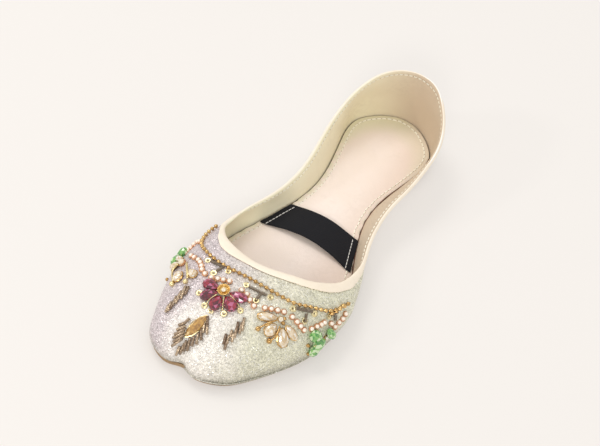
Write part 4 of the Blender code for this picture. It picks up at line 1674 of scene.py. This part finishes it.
@dataclass
class Stitching:
    """All rows of visible stitches; each size is a stitch's length and half its thickness."""

    upper: Upper
    bottom: Bottom
    band: Band
    # hole: size of the dark dots of painted shade between stitches.
    hole: Span = (0.0006, 0.00018)
    insole_stitch: Span = (0.0030, 0.00046)
    insole_pitch: float = 0.0035
    insole_inset: float = 0.0034
    fine_stitch: Span = (0.0025, 0.00042)
    lining_pitch: float = 0.0031
    topline_drop: float = 0.0024
    topline_start: float = -0.018
    seam_pitch: float = 0.0028
    seam_lead: float = 0.0015
    seam_heights: Span = (0.0085, 0.0225)
    band_stitch: Span = (0.0021, 0.00026)
    band_pitch: float = 0.0026
    band_inset: float = 0.0038

    def build(self) -> None:
        """Sews the insole, the band's ends, the lining and the side seams."""
        sizes = (self.insole_stitch, self.hole, self.fine_stitch)
        stitch, hole, fine = (make_stitch(*size) for size in sizes)
        insole, lining, wall = Ground(self.bottom.insole), self.upper.lining(), Ground(self.upper.wall)
        rim = self.insole_rim(insole)
        sew("insole_stitches", rim, insole, Look.STITCH, self.insole_pitch, stitch, closed=True)
        # The dark dots between the stitches are painted shade in the needle holes.
        sew("insole_needle_holes", rim, insole, Look.HOLE, self.insole_pitch, hole, closed=True, between=True)
        self.sew_band()
        line = self.topline_run(lining)
        sew("lining_stitches", line, lining, Look.STITCH, self.lining_pitch, fine)
        sew("lining_needle_holes", line, lining, Look.LINING_HOLE_SHADE, self.lining_pitch, hole, between=True)
        for way, label in ((1, "outer"), (-1, "inner")):
            run = []
            for height in np.linspace(*self.seam_heights, 8):
                along = self.upper.seam_y(way, height) - self.seam_lead
                run.append(wall.hit(Vector((way * 0.07, along, height)), OUTWARD * -way))
            sew(f"seam_stitches_{label}", np.array(run), wall, Look.STITCH, self.seam_pitch, fine)

    def sew_band(self) -> None:
        """Sews down the two ends of the band."""
        low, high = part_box("label_band")
        ground = Ground(self.band.piece)
        fine = make_stitch(*self.band_stitch)
        places = [vertex.co.copy() for vertex in self.band.piece.data.vertices]
        front = [place for place in places if place.y < low.y + 0.002]
        back = [place for place in places if place.y > high.y - 0.002]
        for name, way in (("left", 1), ("right", -1)):
            start, end = (min(edge, key=lambda place: place.x * way) for edge in (front, back))
            marks = [start.lerp(end, share) for share in np.linspace(0.06, 0.94, 9)]
            line = [ground.under(mark + Vector((way * self.band_inset, 0, 0.02))) for mark in marks]
            sew(f"band_stitches_{name}", np.array(line), ground, Look.WHITE_STITCH, self.band_pitch, fine)

    def topline_run(self, lining: Ground) -> Array:
        """Line on the lining, a little below the topline, round the heel.

        Args:
            lining: the lining's surface.

        Returns:
            The line's points, from the outer side round the heel to the inner side.
        """
        lip = [Vector(point) for point in evenly(self.upper.lip, 0.003, closed=True)]
        kept = [place for place in lip if place.y > self.topline_start]
        kept.sort(key=lambda place: math.atan2(place.y - 0.03, place.x - 0.003) % math.tau)
        start = max(range(len(kept)), key=lambda i: (kept[i] - kept[i - 1]).length)
        line = []
        for place in kept[start:] + kept[:start]:
            way = level(self.upper.inside(place) - place)
            line.append(lining.nearest(place + way * 0.001 - UP * self.topline_drop)[0])
        return np.array(line)

    def insole_rim(self, insole: Ground) -> Array:
        """Closed line on the insole's top, set in from its edge.

        Args:
            insole: the insole's surface.

        Returns:
            The line's points.
        """
        low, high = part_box("insole")
        sides = []
        for way in (1, -1):
            side = []
            for along in np.linspace(low.y + 0.0005, high.y - 0.0005, 90):
                start, near, far = 0.003 + swing(along), 0.0, 0.06
                for _ in range(14):
                    middle = (near + far) / 2
                    point = insole.hit(Vector((start + way * middle, along, 0.03)), -UP)
                    near, far = (near, middle) if point is None else (middle, far)
                side.append((start + way * near, along, 0.02))
            sides.append(side)
        rim = np.array(sides[0] + sides[1][::-1])
        run = np.roll(rim, -1, 0) - np.roll(rim, 1, 0)
        across = np.column_stack([-run[:, 1], run[:, 0], np.zeros(len(run))])
        across /= np.linalg.norm(across, axis=1, keepdims=True) + 1e-12
        moved = rim + across * self.insole_inset
        return np.array([insole.under(Vector(point)) for point in moved])


# Beadwork


def make_ball(radius: float, pitch: float) -> Bead:
    """Ball of a ball chain with half a link out of each end.

    Args:
        radius: the ball's radius.
        pitch: the distance between balls.

    Returns:
        The bead, the chain's run along X.
    """
    bpy.ops.mesh.primitive_uv_sphere_add(segments=12, ring_count=8, radius=radius, rotation=ON_SIDE)
    piece = started()
    for way in (1, -1):
        pick(lambda place, _: place.x * way > radius * 0.9)
        bpy.ops.mesh.extrude_region_move(TRANSFORM_OT_translate={"value": (way * (pitch / 2 - radius), 0, 0)})
        bpy.ops.transform.resize(value=(1, 0.75, 0.75), center_override=(way * pitch / 2, 0, 0))
    return Bead.closed(piece)


def make_dome(radius: float) -> Bead:
    """Half-sunk pearl: a ball cut flat under its middle.

    Args:
        radius: the ball's radius.

    Returns:
        The bead, its middle at the origin.
    """
    bpy.ops.mesh.primitive_uv_sphere_add(segments=12, ring_count=8, radius=radius)
    piece = started()
    bpy.ops.mesh.select_all(action="SELECT")
    bpy.ops.mesh.bisect(plane_co=(0, 0, -radius * 0.5), plane_no=(0, 0, 1), clear_inner=True, use_fill=True)
    pick(lambda place, normal: normal.z > 0.9)
    bpy.ops.transform.resize(value=(1, 1, 0.9), center_override=(0, 0, radius * 0.6))
    return Bead.closed(piece)


def make_cup(radius: float, height: float, wall: float, sides: int) -> Bead:
    """Open metal cup for a stone or a pearl, with a rounded rim.

    Args:
        radius: its outer radius.
        height: its height.
        wall: the thickness of its rim.
        sides: the faces round it.

    Returns:
        The bead, its foot at the origin.
    """
    middle = (0, 0, height / 2)
    bpy.ops.mesh.primitive_cylinder_add(vertices=sides, radius=radius, depth=height, location=middle)
    piece = started()
    pick(lambda place, normal: normal.z > 0.9)
    bpy.ops.mesh.inset(thickness=wall)
    bpy.ops.mesh.extrude_region_move(TRANSFORM_OT_translate={"value": (0, 0, -height * 0.6)})
    bpy.ops.transform.resize(value=(0.85, 0.85, 1))
    pick(lambda place, normal: normal.z < -0.9)
    bpy.ops.transform.resize(value=(0.82, 0.82, 1))
    modify(piece, "BEVEL", width=wall * 0.3, segments=1, limit_method="ANGLE")
    return Bead.closed(piece, 40)


def make_bugle() -> Bead:
    """Models a bugle bead one unit long and one across, with a rounded mouth at each end.

    Returns:
        The bead, its length along X.
    """
    bpy.ops.mesh.primitive_cylinder_add(vertices=8, radius=0.5, depth=1.0, rotation=ON_SIDE)
    piece = started()
    for way in (1, -1):
        pick(lambda place, normal: normal.x * way > 0.9)
        bpy.ops.transform.resize(value=(1, 0.8, 0.8))
        bpy.ops.mesh.inset(thickness=0.14)
        bpy.ops.mesh.extrude_region_move(TRANSFORM_OT_translate={"value": (-way * 0.12, 0, 0)})
    return Bead.closed(piece, 50)


def make_sequin() -> Bead:
    """Models a cupped sequin one unit across, with a hole for its thread.

    Returns:
        The bead, its rim at the origin.
    """
    bpy.ops.mesh.primitive_circle_add(vertices=12, radius=0.5, fill_type="NGON")
    piece = started()
    bpy.ops.mesh.select_all(action="SELECT")
    bpy.ops.mesh.inset(thickness=0.2)
    bpy.ops.transform.translate(value=(0, 0, -0.12))
    bpy.ops.mesh.inset(thickness=0.17)
    bpy.ops.mesh.delete(type="FACE")
    modify(piece, "SOLIDIFY", thickness=0.07, offset=1.0)
    return Bead.closed(piece, 40)


class Cut(Enum):
    """Cuts of the crystals: steps of squeeze, each beyond a reach along the stone."""

    DROP = ((0.1, 0.95), (-0.12, 0.88), (-0.3, 0.76))
    ROUND = ()
    MARQUISE = ((0.18, 0.86), (0.3, 0.6))


def make_gem(cut: Cut) -> Bead:
    """Cut stone one unit long, wide and high, all facets, its back cut flat.

    Args:
        cut: the outline of its girdle.

    Returns:
        The bead, its length along X, its narrow end at -X and its back at the origin.
    """
    bpy.ops.mesh.primitive_ico_sphere_add(subdivisions=2, radius=0.5)
    piece = started("VERT")
    for reach, squeeze in cut.value:
        if cut is Cut.DROP:
            pick(lambda place, _: place.x < reach, "VERT")
        else:
            pick(lambda place, _: abs(place.x) > reach, "VERT")
        bpy.ops.transform.resize(value=(1, squeeze, squeeze), center_override=(0, 0, 0))
    bpy.ops.mesh.select_all(action="SELECT")
    bpy.ops.mesh.bisect(plane_co=(0, 0, -0.34), plane_no=(0, 0, 1), clear_inner=True, use_fill=True)
    bpy.ops.mesh.select_all(action="SELECT")
    bpy.ops.transform.resize(value=(1, 1, 1 / 0.84), center_override=(0, 0, 0.5))
    bpy.ops.transform.translate(value=(0, 0, 0.5))
    return Bead.closed(piece, 0)


def make_coil(length: float) -> Piece:
    """Tightly wound coil of fine wire.

    Args:
        length: its length.

    Returns:
        The mesh object, from the origin along Z.
    """
    turned, start = (math.pi / 2, 0, 0), (COIL_RADIUS, 0, 0)
    bpy.ops.mesh.primitive_circle_add(vertices=5, radius=COIL_WIRE, rotation=turned, location=start)
    piece = started()
    turns = max(3, round(length / COIL_PITCH))
    steps = 8 * turns
    modify(
        piece, "SCREW", angle=math.tau * turns, screw_offset=length, steps=steps, render_steps=steps,
        use_merge_vertices=False,
    )
    edit(piece, "EDGE")
    bpy.ops.mesh.select_non_manifold()
    bpy.ops.mesh.edge_face_add()
    bpy.ops.object.mode_set(mode="OBJECT")
    piece.data.shade_smooth()
    return finish(piece)


class Sewn:
    """A group of beads, sewn to the vamp where the photo shows it."""

    vamp: Ground


@dataclass
class Chain(Sewn):
    """Ball chain across the vamp, with a short second row at its outer end."""

    ball_radius: float = 0.00122
    pitch: float = 0.0036
    second_row: tuple[Pixel, ...] = ((332.5, 313.5), (338.6, 310.4), (343.6, 305.6))

    def build(self) -> None:
        """Strings the balls along the CAD strand's middle line."""
        short = np.array([self.vamp.seen(pixel, self.ball_radius)[0] for pixel in self.second_row])
        seats = []
        for line in (smoothed(strand_centres("ball_chain"), 1), short):
            marks = evenly(line, self.pitch)
            for number, mark in enumerate(marks):
                run = Vector(marks[min(number + 1, len(marks) - 1)] - marks[max(number - 1, 0)])
                point, normal = self.vamp.nearest(Vector(mark))
                seats.append(placed(point + normal * self.ball_radius * 0.95, run, normal))
        self.piece = copies("ball_chain_balls", make_ball(self.ball_radius, self.pitch), seats)

    def dress(self) -> None:
        """Plates the chain."""
        settle(self.piece, Look.GOLD, ["ball_chain"])


@dataclass
class Garland(Sewn):
    """Pearls in rose gold cups, in waves below the chain."""

    pearl_radius: float = 0.00142
    cup_radius: float = 0.00190
    cup_height: float = 0.0009
    cup_wall: float = 0.00034
    link: float = 0.0006
    upright: float = 0.55
    waves: tuple[tuple[Pixel, ...], ...] = (
        ((184.9, 253.4), (186.8, 249.8), (190, 247.5), (192.5, 243.4), (195.1, 240.6), (199.6, 242)),
        (
            (191.1, 255.5), (194.3, 257.3), (198.2, 259.8), (200.2, 262.4), (201.5, 265.9), (201.9, 269.6),
            (204.9, 273.6),
        ),
        ((211.3, 277.5), (217.7, 278.8), (223.4, 279.8), (229.4, 281.3)),
        ((241.6, 290.3), (247, 294.3), (250, 299.7), (253.9, 305.8)),
        ((265, 308), (271.4, 308.9), (277.7, 310.3), (284, 311.8)),
        ((292.3, 316.9), (296.9, 321.8), (300.6, 326.1), (304.1, 330.1)),
        ((311.8, 329), (317, 326.7), (321.3, 324.7), (324.5, 322.7)),
        ((331.6, 324.1), (335.1, 327.6)),
        ((339.4, 323.3), (343.1, 319.5), (346, 314.4)),
    )

    def build(self) -> None:
        """Sets the cups, the links between them and the pearls."""
        cups, pearls, links = [], [], []
        for wave in self.waves:
            last = None
            for pixel in wave:
                point, normal = self.vamp.seen(pixel, self.cup_height)
                steep = 1 - eased(normal.z, 0.35, 0.75)
                normal = normal.lerp(UP, self.upright * steep).normalized()
                run = (point - last) if last else Vector((1, 0.2, 0))
                cups.append(placed(point + normal * 0.0001, run, normal))
                pearls.append(placed(point + normal * (self.cup_height + 0.0001), run, normal))
                if last:
                    half, way = self.vamp.nearest((point + last) / 2)
                    size = (run.length * 0.6, self.link, self.link)
                    links.append(placed(half + way * self.link * 0.75, run, way, size))
                last = point
        self.cups = joined("pearl_cups", [
            copies("pearl_cups", make_cup(self.cup_radius, self.cup_height, self.cup_wall, 12), cups),
            copies("pearl_links", make_bugle(), links),
        ])
        dome = make_dome(self.pearl_radius)
        # The pearls' painted highlight and painted cup reflection follow the faces' heights.
        dome.highlight_by_height = True
        self.pearls = copies("garland_pearls", dome, pearls)

    def dress(self) -> None:
        """Finishes cups and pearls."""
        settle(self.cups, Look.ROSE_GOLD)
        settle(self.pearls, Look.PEARL, ["pearl_garland"])


def node_axes(
    node: str, ground: Ground, away_from: Vector | None = None
) -> tuple[Vector, Vector, Vector, Span]:
    """Where a CAD bead sits and how it lies.

    Args:
        node: the CAD node.
        ground: the surface that it sits on.
        away_from: a point that its long axis leads away from.

    Returns:
        The seat on the surface, the long axis, the surface normal, and length and width.
    """
    places = corners(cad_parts[node].data)
    middle = (places.max(0) + places.min(0)) / 2
    values, vectors = np.linalg.eigh(np.cov((places - middle).T))
    long_way = Vector(vectors[:, int(np.argmax(values))])
    seat, normal = ground.nearest(Vector(middle))
    if away_from is not None and long_way.dot(Vector(middle) - away_from) < 0:
        long_way.negate()
    side = normal.cross(long_way).normalized()
    spread = [np.ptp(places @ np.array(axis)) for axis in (long_way, side)]
    return seat, long_way, normal, (float(spread[0]), float(spread[1]))


@dataclass(frozen=True)
class Petal:
    """Cut drop: where its middle and its tip show, and its size in millimetres."""

    middle: Pixel | None = None
    length: float = 0.0
    width: float = 0.0
    tip: Pixel | None = None
    thick: float = 3.7


@dataclass(frozen=True)
class Stamen:
    """Bent wire over the vamp, through three pixels, with a bead at its end."""

    path: tuple[float, ...]
    end: Pixel | None
    end_radius: float
    wire: float


@dataclass
class Flower(Sewn):
    """Flower of cut drops round a cup, with wires between them."""

    kind: str
    glass: Look
    slot: str
    centre: Pixel | None
    cup_radius: float
    stone_radius: float
    petals: tuple[Petal, ...]
    stamens: tuple[Stamen, ...] = ()
    loose: tuple[tuple[Pixel, float], ...] = ()
    rim_beads: int = 0
    cup_look: Look = Look.GOLD
    stamen_look: Look = Look.PALE_GOLD
    stamen_rise: float = 0.0034
    outlined: bool = False

    def build(self) -> None:
        """Sets the petals, the cup with its stone, and the stamens."""
        height = self.cup_radius * 0.55
        lift = 0.0012 if self.rim_beads else 0.0001
        if self.centre:
            centre, normal = self.vamp.seen(self.centre, height / 2 + lift)
        else:
            centre, _, normal, _ = node_axes(f"centre_{self.kind}", self.vamp)
        seats = [self.petal_seat(centre, number) for number in range(len(self.petals))]
        self.crystals = copies(f"crystals_{self.kind}", make_gem(Cut.DROP), seats)
        self.metal: list[tuple[Piece, Look]] = []
        if self.outlined:
            wider = [seat @ np.diag((1.12, 1.2, 0.5, 1.0)) for seat in seats]
            self.metal.append((copies(f"petal_rims_{self.kind}", make_gem(Cut.DROP), wider), Look.GOLD))
        run = normal.cross(Vector((0, 1, 0)).cross(normal)).normalized()
        base = centre + normal * lift
        cup = make_cup(self.cup_radius, height, self.cup_radius * 0.2, 20)
        cups = [copies(f"cup_{self.kind}", cup, [placed(base, run, normal)])]
        if self.rim_beads:
            ring = []
            for number in range(self.rim_beads):
                turn = math.tau * number / self.rim_beads
                way = run * math.cos(turn) + normal.cross(run) * math.sin(turn)
                ring.append(placed(base + normal * height + way * self.cup_radius * 0.92, way, normal))
            cups.append(copies("rim_balls", make_dome(self.cup_radius * 0.13), ring))
        self.cup = joined(f"cup_{self.kind}", cups)
        size = (self.stone_radius * 2, self.stone_radius * 2, self.stone_radius * 1.3)
        stone = placed(base + normal * height * 0.5, run, normal, size)
        self.stone = copies(f"stone_{self.kind}", make_gem(Cut.ROUND), [stone])
        for number, stamen in enumerate(self.stamens):
            self.build_stamen(number, stamen)
        for number, (pixel, radius) in enumerate(self.loose):
            self.metal.append((self.set_end(f"loose_{number}", pixel, radius), Look.GOLD))

    def petal_seat(self, centre: Vector, number: int) -> Array:
        """Matrix of one petal.

        Args:
            centre: the flower's middle.
            number: which petal, from 0.

        Returns:
            Its seat, narrow end towards the centre.
        """
        petal = self.petals[number]
        thick = petal.thick * MM
        if petal.middle is None:
            seat, way, up, (length, width) = node_axes(f"petal_{self.kind}_{number + 1}", self.vamp, centre)
        else:
            length, width = petal.length * MM, petal.width * MM
            seat, up = self.vamp.seen(petal.middle, thick / 2)
            way = self.vamp.seen(petal.tip, thick / 2)[0] - seat if petal.tip else seat - centre
        return placed(seat + up * THREAD_LIFT, way, up, (length, width, thick))

    def build_stamen(self, number: int, stamen: Stamen) -> None:
        """Lays one wire on the vamp, with its end.

        Args:
            number: which stamen, from 0.
            stamen: its path and end.
        """
        points = []
        for pixel in zip(stamen.path[::2], stamen.path[1::2]):
            seat, up = self.vamp.seen(pixel, self.stamen_rise)
            points.append(seat + up * self.stamen_rise)
        points[-1] -= up * self.stamen_rise * 0.5
        self.metal.append((wire(f"stamen_{number}", points, stamen.wire), self.stamen_look))
        if stamen.end:
            bead = self.set_end(f"end_{number}", stamen.end, stamen.end_radius)
            self.metal.append((bead, self.stamen_look))

    def set_end(self, name: str, pixel: Pixel, radius: float) -> Piece:
        """Small round bead on the vamp, its middle where it shows."""
        seat, up = self.vamp.seen(pixel, radius)
        return copies(name, make_dome(radius), [placed(seat + up * radius * 0.5, OUTWARD, up)])

    def dress(self) -> None:
        """Finishes glass and metal."""
        petals = [f"petal_{self.kind}_{number + 1}" for number in range(len(self.petals))]
        settle(self.crystals, self.glass, petals)
        settle(self.cup, self.cup_look, [f"centre_{self.kind}"])
        settle(self.stone, Look.CLEAR)
        for look in (Look.GOLD, Look.PALE_GOLD):
            pieces = [piece for piece, own in self.metal if own is look]
            if pieces:
                settle(joined(f"stamens_{self.kind}_{look.name.lower()}", pieces), look)


@dataclass
class Bugles(Sewn):
    """Fan or sprig of bugle beads, each from the pixel of one end to that of the other."""

    node: str
    beads: tuple[tuple[float, float, float, float], ...]
    thickness: float = 0.0021
    longest: float = 0.0078

    def build(self) -> None:
        """Lays the beads side by side on the vamp."""
        half = self.thickness / 2
        seats = []
        for left, top, right, foot in self.beads:
            start = self.vamp.seen((left, top), half)[0]
            end = self.vamp.seen((right, foot), half)[0]
            point, normal = self.vamp.nearest((start + end) / 2)
            size = (min((end - start).length, self.longest), self.thickness, self.thickness)
            seats.append(placed(point + normal * half, end - start, normal, size))
        self.piece = copies(f"{self.node}_bugles", make_bugle(), seats)

    def dress(self) -> None:
        """Glazes the beads."""
        settle(self.piece, Look.BUGLE, [self.node])


@dataclass
class LeafStone(Sewn):
    """Amber marquise in the middle of the leaf, in a thin metal rim."""

    node: str = "leaf_stone"
    tip: Pixel = (207.3, 315.3)
    foot: Pixel = (185.0, 337.6)
    width: float = 0.0062
    height: float = 0.0030

    def build(self) -> None:
        """Sets the stone in its rim."""
        start, end = (self.vamp.seen(pixel, self.height / 2)[0] for pixel in (self.tip, self.foot))
        seat, normal = self.vamp.nearest((start + end) / 2)
        gem = make_gem(Cut.MARQUISE)
        size = ((end - start).length, self.width, self.height)
        wider = (size[0] * 1.08, self.width * 1.16, self.height * 0.6)
        self.stone = copies("leaf_marquise", gem, [placed(seat + normal * 0.0002, end - start, normal, size)])
        self.rim = copies("leaf_rim", gem, [placed(seat + normal * 0.0001, end - start, normal, wider)])

    def dress(self) -> None:
        """Gives the stone its glass."""
        settle(self.stone, Look.AMBER, [self.node])
        settle(self.rim, Look.PALE_GOLD)


@dataclass
class Branch(Sewn):
    """Coiled wire branch: a bar with a short stem."""

    node: str
    bar: tuple[Pixel, Pixel]
    stem: tuple[Pixel, Pixel]
    radius: float = 0.00096

    def build(self) -> None:
        """Winds the bar and the stem beside it."""
        coils = []
        for pair in (self.bar, self.stem):
            start, end = (self.raised(pixel) for pixel in pair)
            coil = make_coil((end - start).length)
            turn = (end - start).to_track_quat("Z", "Y").to_matrix().to_4x4()
            coil.data.transform(Matrix.Translation(start) @ turn)
            coils.append(coil)
        self.piece = joined(f"{self.node}_coil", coils)

    def raised(self, pixel: Pixel) -> Vector:
        """Place of a coil's end, one radius over the vamp."""
        point, normal = self.vamp.seen(pixel, self.radius)
        return point + normal * self.radius

    def dress(self) -> None:
        """Gives the wire its tarnish."""
        settle(self.piece, Look.COIL, [self.node])


@dataclass
class Sequins(Sewn):
    """Pale gold sequins round the red flower and at the ends of the branches."""

    radius: float = 0.0020
    spots: tuple[Pixel, ...] = (
        (199, 292.8), (204.6, 305.3), (211, 310.4), (223.8, 313.5), (240.6, 310.4), (213.6, 272.7),
        (228.4, 271.1), (246.2, 284.9), (207.8, 260.2), (270.7, 297), (293.5, 308.6), (314.7, 313.8),
        (304.9, 321), (329.6, 315.8), (256.2, 300.4), (260.2, 316.9),
    )

    def build(self) -> None:
        """Sews on the sequins, each a little tilted."""
        draw = random.Random("sequins")
        seats = []
        for pixel in self.spots:
            point, normal = self.vamp.seen(pixel, 0.0006)
            lean = Vector([draw.uniform(-0.16, 0.16) for _ in range(3)])
            size = 2 * self.radius * draw.uniform(0.92, 1.08)
            run = Vector((1, draw.uniform(-1, 1), 0))
            seats.append(placed(point + normal * 0.0007, run, normal + lean, (size, size, size)))
        self.piece = copies("vamp_sequins", make_sequin(), seats)

    def dress(self) -> None:
        """Gives the sequins their foil."""
        settle(self.piece, Look.PALE_GOLD)


def red_flower() -> Flower:
    """Red flower of five drops round a beaded dish."""
    return Flower(
        "red", Look.RUBY, "red_crystal", (223.8, 290.3), 0.0036, 0.0014,
        (
            Petal((210.8, 284.8), 10.4, 7.6, thick=4.2),
            Petal((208.6, 294.4), 10.8, 7.4, thick=4.2),
            Petal((216.0, 302.8), 10.2, 7.8, thick=4.2),
            Petal((230.2, 303.6), 10.4, 8.4, thick=4.2),
            Petal((238.6, 296.7), 11.4, 7.0, thick=4.2),
        ),
        (
            Stamen((217.7, 294.1, 209.5, 297.7, 205.9, 302.8), None, 0, 0.00032),
            Stamen((224.3, 296.6, 223, 300.7, 222.5, 307.3), (222.3, 308.6), 0.0008, 0.00032),
            Stamen((229.9, 295.1, 235, 299.2, 239.6, 305.8), None, 0, 0.00032),
        ),
        rim_beads=22, cup_look=Look.DISH_GOLD, stamen_rise=0.0032,
    )


def champagne_flowers() -> tuple[Flower, Flower]:
    """Clear champagne flowers on the outer and the inner side."""
    outer = Flower(
        "champagne_outer", Look.CHAMPAGNE, "champagne_crystal", (280.5, 319.5), 0.0019, 0.0015,
        (
            Petal((267.6, 316.6), 11.0, 5.2, thick=3.2),
            Petal((271.2, 329.8), 8.2, 6.8, thick=3.4),
            Petal((283.1, 338.2), 10.9, 7.0, (283.7, 346.2), 3.4),
            Petal((292, 333.2), 11.0, 4.8, (296.3, 339.3), 3.0),
        ),
        (
            Stamen((278.6, 319.8, 268.8, 322.4, 259.5, 327.3), (258.3, 328.6), 0.0015, 0.0005),
            Stamen((279.8, 326.0, 278, 336, 271.2, 341.6), (269.9, 341.3), 0.0017, 0.0005),
        ),
        (((284.9, 318.7), 0.0011), ((283.7, 323.3), 0.0012), ((286, 345.6), 0.0012)),
        stamen_look=Look.GOLD, outlined=True,
    )
    inner = Flower(
        "champagne_inner", Look.CHAMPAGNE, "champagne_crystal", (182.5, 263), 0.0027, 0.0020,
        (
            Petal((177.2, 275.3), 8.0, 6.6),
            Petal((191.9, 272.4), 6.5, 5.5),
            Petal(), Petal(),
        ),
        (
            Stamen((186.2, 262.4, 186.9, 269, 186.6, 277.1), (184.6, 280.6), 0.0016, 0.0007),
            Stamen((178.6, 264.4, 170.6, 271, 171.4, 279.3), (170.8, 282.8), 0.0017, 0.0006),
        ),
        (((167.8, 279.8), 0.0011),),
        cup_look=Look.ROSE_GOLD, stamen_rise=0.0022, outlined=True,
    )
    return outer, inner


def green_flowers() -> tuple[Flower, Flower]:
    """Green flowers at the two sides of the vamp."""
    outer = Flower(
        "green_outer", Look.MINT, "green_crystal", (326.2, 337.6), 0.0018, 0.0011,
        (
            Petal((316.8, 336.6), 9.2, 8.0, thick=5.0),
            Petal((332.0, 334.2), 9.8, 5.8, (333.8, 342.8), 4.6),
            Petal((321.4, 345.8), 9.6, 8.4, thick=5.0),
            Petal((315.6, 351.6), 8.4, 7.8, thick=4.6),
        ),
        (Stamen((314.7, 347.4, 319.5, 344.5, 323.9, 342.2), (313.4, 348.4), 0.0007, 0.00028),),
        (((309, 346.2), 0.0012), ((309, 354.8), 0.0011)),
        stamen_rise=0.0036,
    )
    inner = Flower(
        "green_inner", Look.MINT, "green_crystal", None, 0.0018, 0.0011,
        (
            Petal((173.8, 258.4), 9.4, 5.6, (169.8, 262.4), 5.0),
            Petal((180.0, 252.4), 9.2, 5.2, (184.2, 248.4), 4.8),
            Petal(), Petal(),
        ),
        (),
        (((186.2, 245.5), 0.0012),),
    )
    return outer, inner


def bugle_groups() -> tuple[Bugles, ...]:
    """Fans of the leaf and the sprigs beside the flowers."""
    leaf_outer = Bugles("leaf_beads_outer", (
        (207.7, 316.1, 207.2, 325.2), (207.2, 325.2, 206.8, 334.6), (204.7, 322.9, 202.9, 332.9),
        (201.1, 327.6, 201.1, 340.5), (198.5, 332.9, 196.1, 344.6), (194.7, 335.8, 191.4, 346.4),
        (190.9, 337.6, 186.8, 351.1), (187.3, 340.5, 183.2, 351.1), (184.1, 344, 180, 354.6),
        (179.7, 346.4, 175.9, 355.5),
    ))
    leaf_inner = Bugles("leaf_beads_inner", (
        (189.7, 318.2, 183.8, 323.5), (186.2, 322.3, 178.2, 325.2), (185.6, 325.8, 176.2, 329.9),
        (185.3, 328.8, 173.8, 334.6), (184.7, 331.7, 172.4, 338.1), (184.1, 334.6, 173, 341.7),
        (183.2, 337.6, 170, 346.9),
    ))
    sprig_outer = Bugles("sprig_outer", (
        (244.3, 317.6, 241.9, 331.1), (241.9, 322.3, 239.3, 334), (238.4, 321.7, 236.1, 332.9),
        (236.6, 328.2, 234.3, 338.1), (232.2, 329.9, 230.2, 337.6), (233.7, 332.9, 231.7, 342.3),
        (226.1, 333.7, 223.4, 344.6), (229.3, 335.2, 226.7, 344), (227.2, 340.5, 224.3, 349.9),
    ))
    sprig_inner = Bugles("sprig_inner", (
        (188.9, 286.5, 184.9, 294.5), (186, 286, 181.5, 295), (184.5, 290, 180.5, 299),
        (181.5, 291, 177, 300), (179.5, 294.5, 175, 303.5), (176.5, 296, 172.3, 305.5),
        (174.3, 300, 170, 309), (171.5, 301.5, 167.5, 311), (169, 304.5, 165.3, 312.5),
    ))
    return leaf_outer, leaf_inner, sprig_outer, sprig_inner


def branches() -> tuple[Branch, ...]:
    """Coiled branches between the chain and the garland."""
    return (
        Branch("branch_1", ((210.7, 260.7), (224.3, 267.1)), ((222, 267.9), (216.8, 270.7))),
        Branch("branch_2", ((249.1, 286.6), (266.5, 294.9)), ((261.5, 293.3), (255.7, 299.9))),
        Branch("branch_3", ((295.2, 308.3), (313, 311.8)), ((306.7, 313.5), (305.5, 322.1))),
        Branch("branch_4", ((331.4, 315.2), (338.2, 311.8)), ((336, 315), (335.4, 321))),
    )


@dataclass
class Beadwork:
    """All the embroidery on the vamp."""

    def build(self, vamp: Ground) -> None:
        """Makes and dresses each group of beads.

        Args:
            vamp: the vamp's surface, with the photo's camera.
        """
        groups = (
            Chain(), Garland(), red_flower(), *champagne_flowers(), *green_flowers(), LeafStone(),
            *bugle_groups(), *branches(), Sequins(),
        )
        for group in groups:
            group.vamp = vamp
            group.build()
            group.dress()


def main() -> None:
    """Builds the shoe's looks around the frame, in order."""
    logging.basicConfig(level=logging.INFO, format="%(name)s %(message)s")
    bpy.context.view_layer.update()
    camera = PhotoCamera()
    camera.build()
    Studio().build()
    upper = Upper()
    bottom, band, rand = Bottom(upper), Band(), Rand(upper)
    for part in (upper, bottom, band, rand):
        part.build()
    for part in (upper, bottom, band, rand):
        part.dress()
    Stitching(upper, bottom, band).build()
    Beadwork().build(Ground(upper.wall, camera=camera))
    clear()


if __name__ == "__main__":
    main()
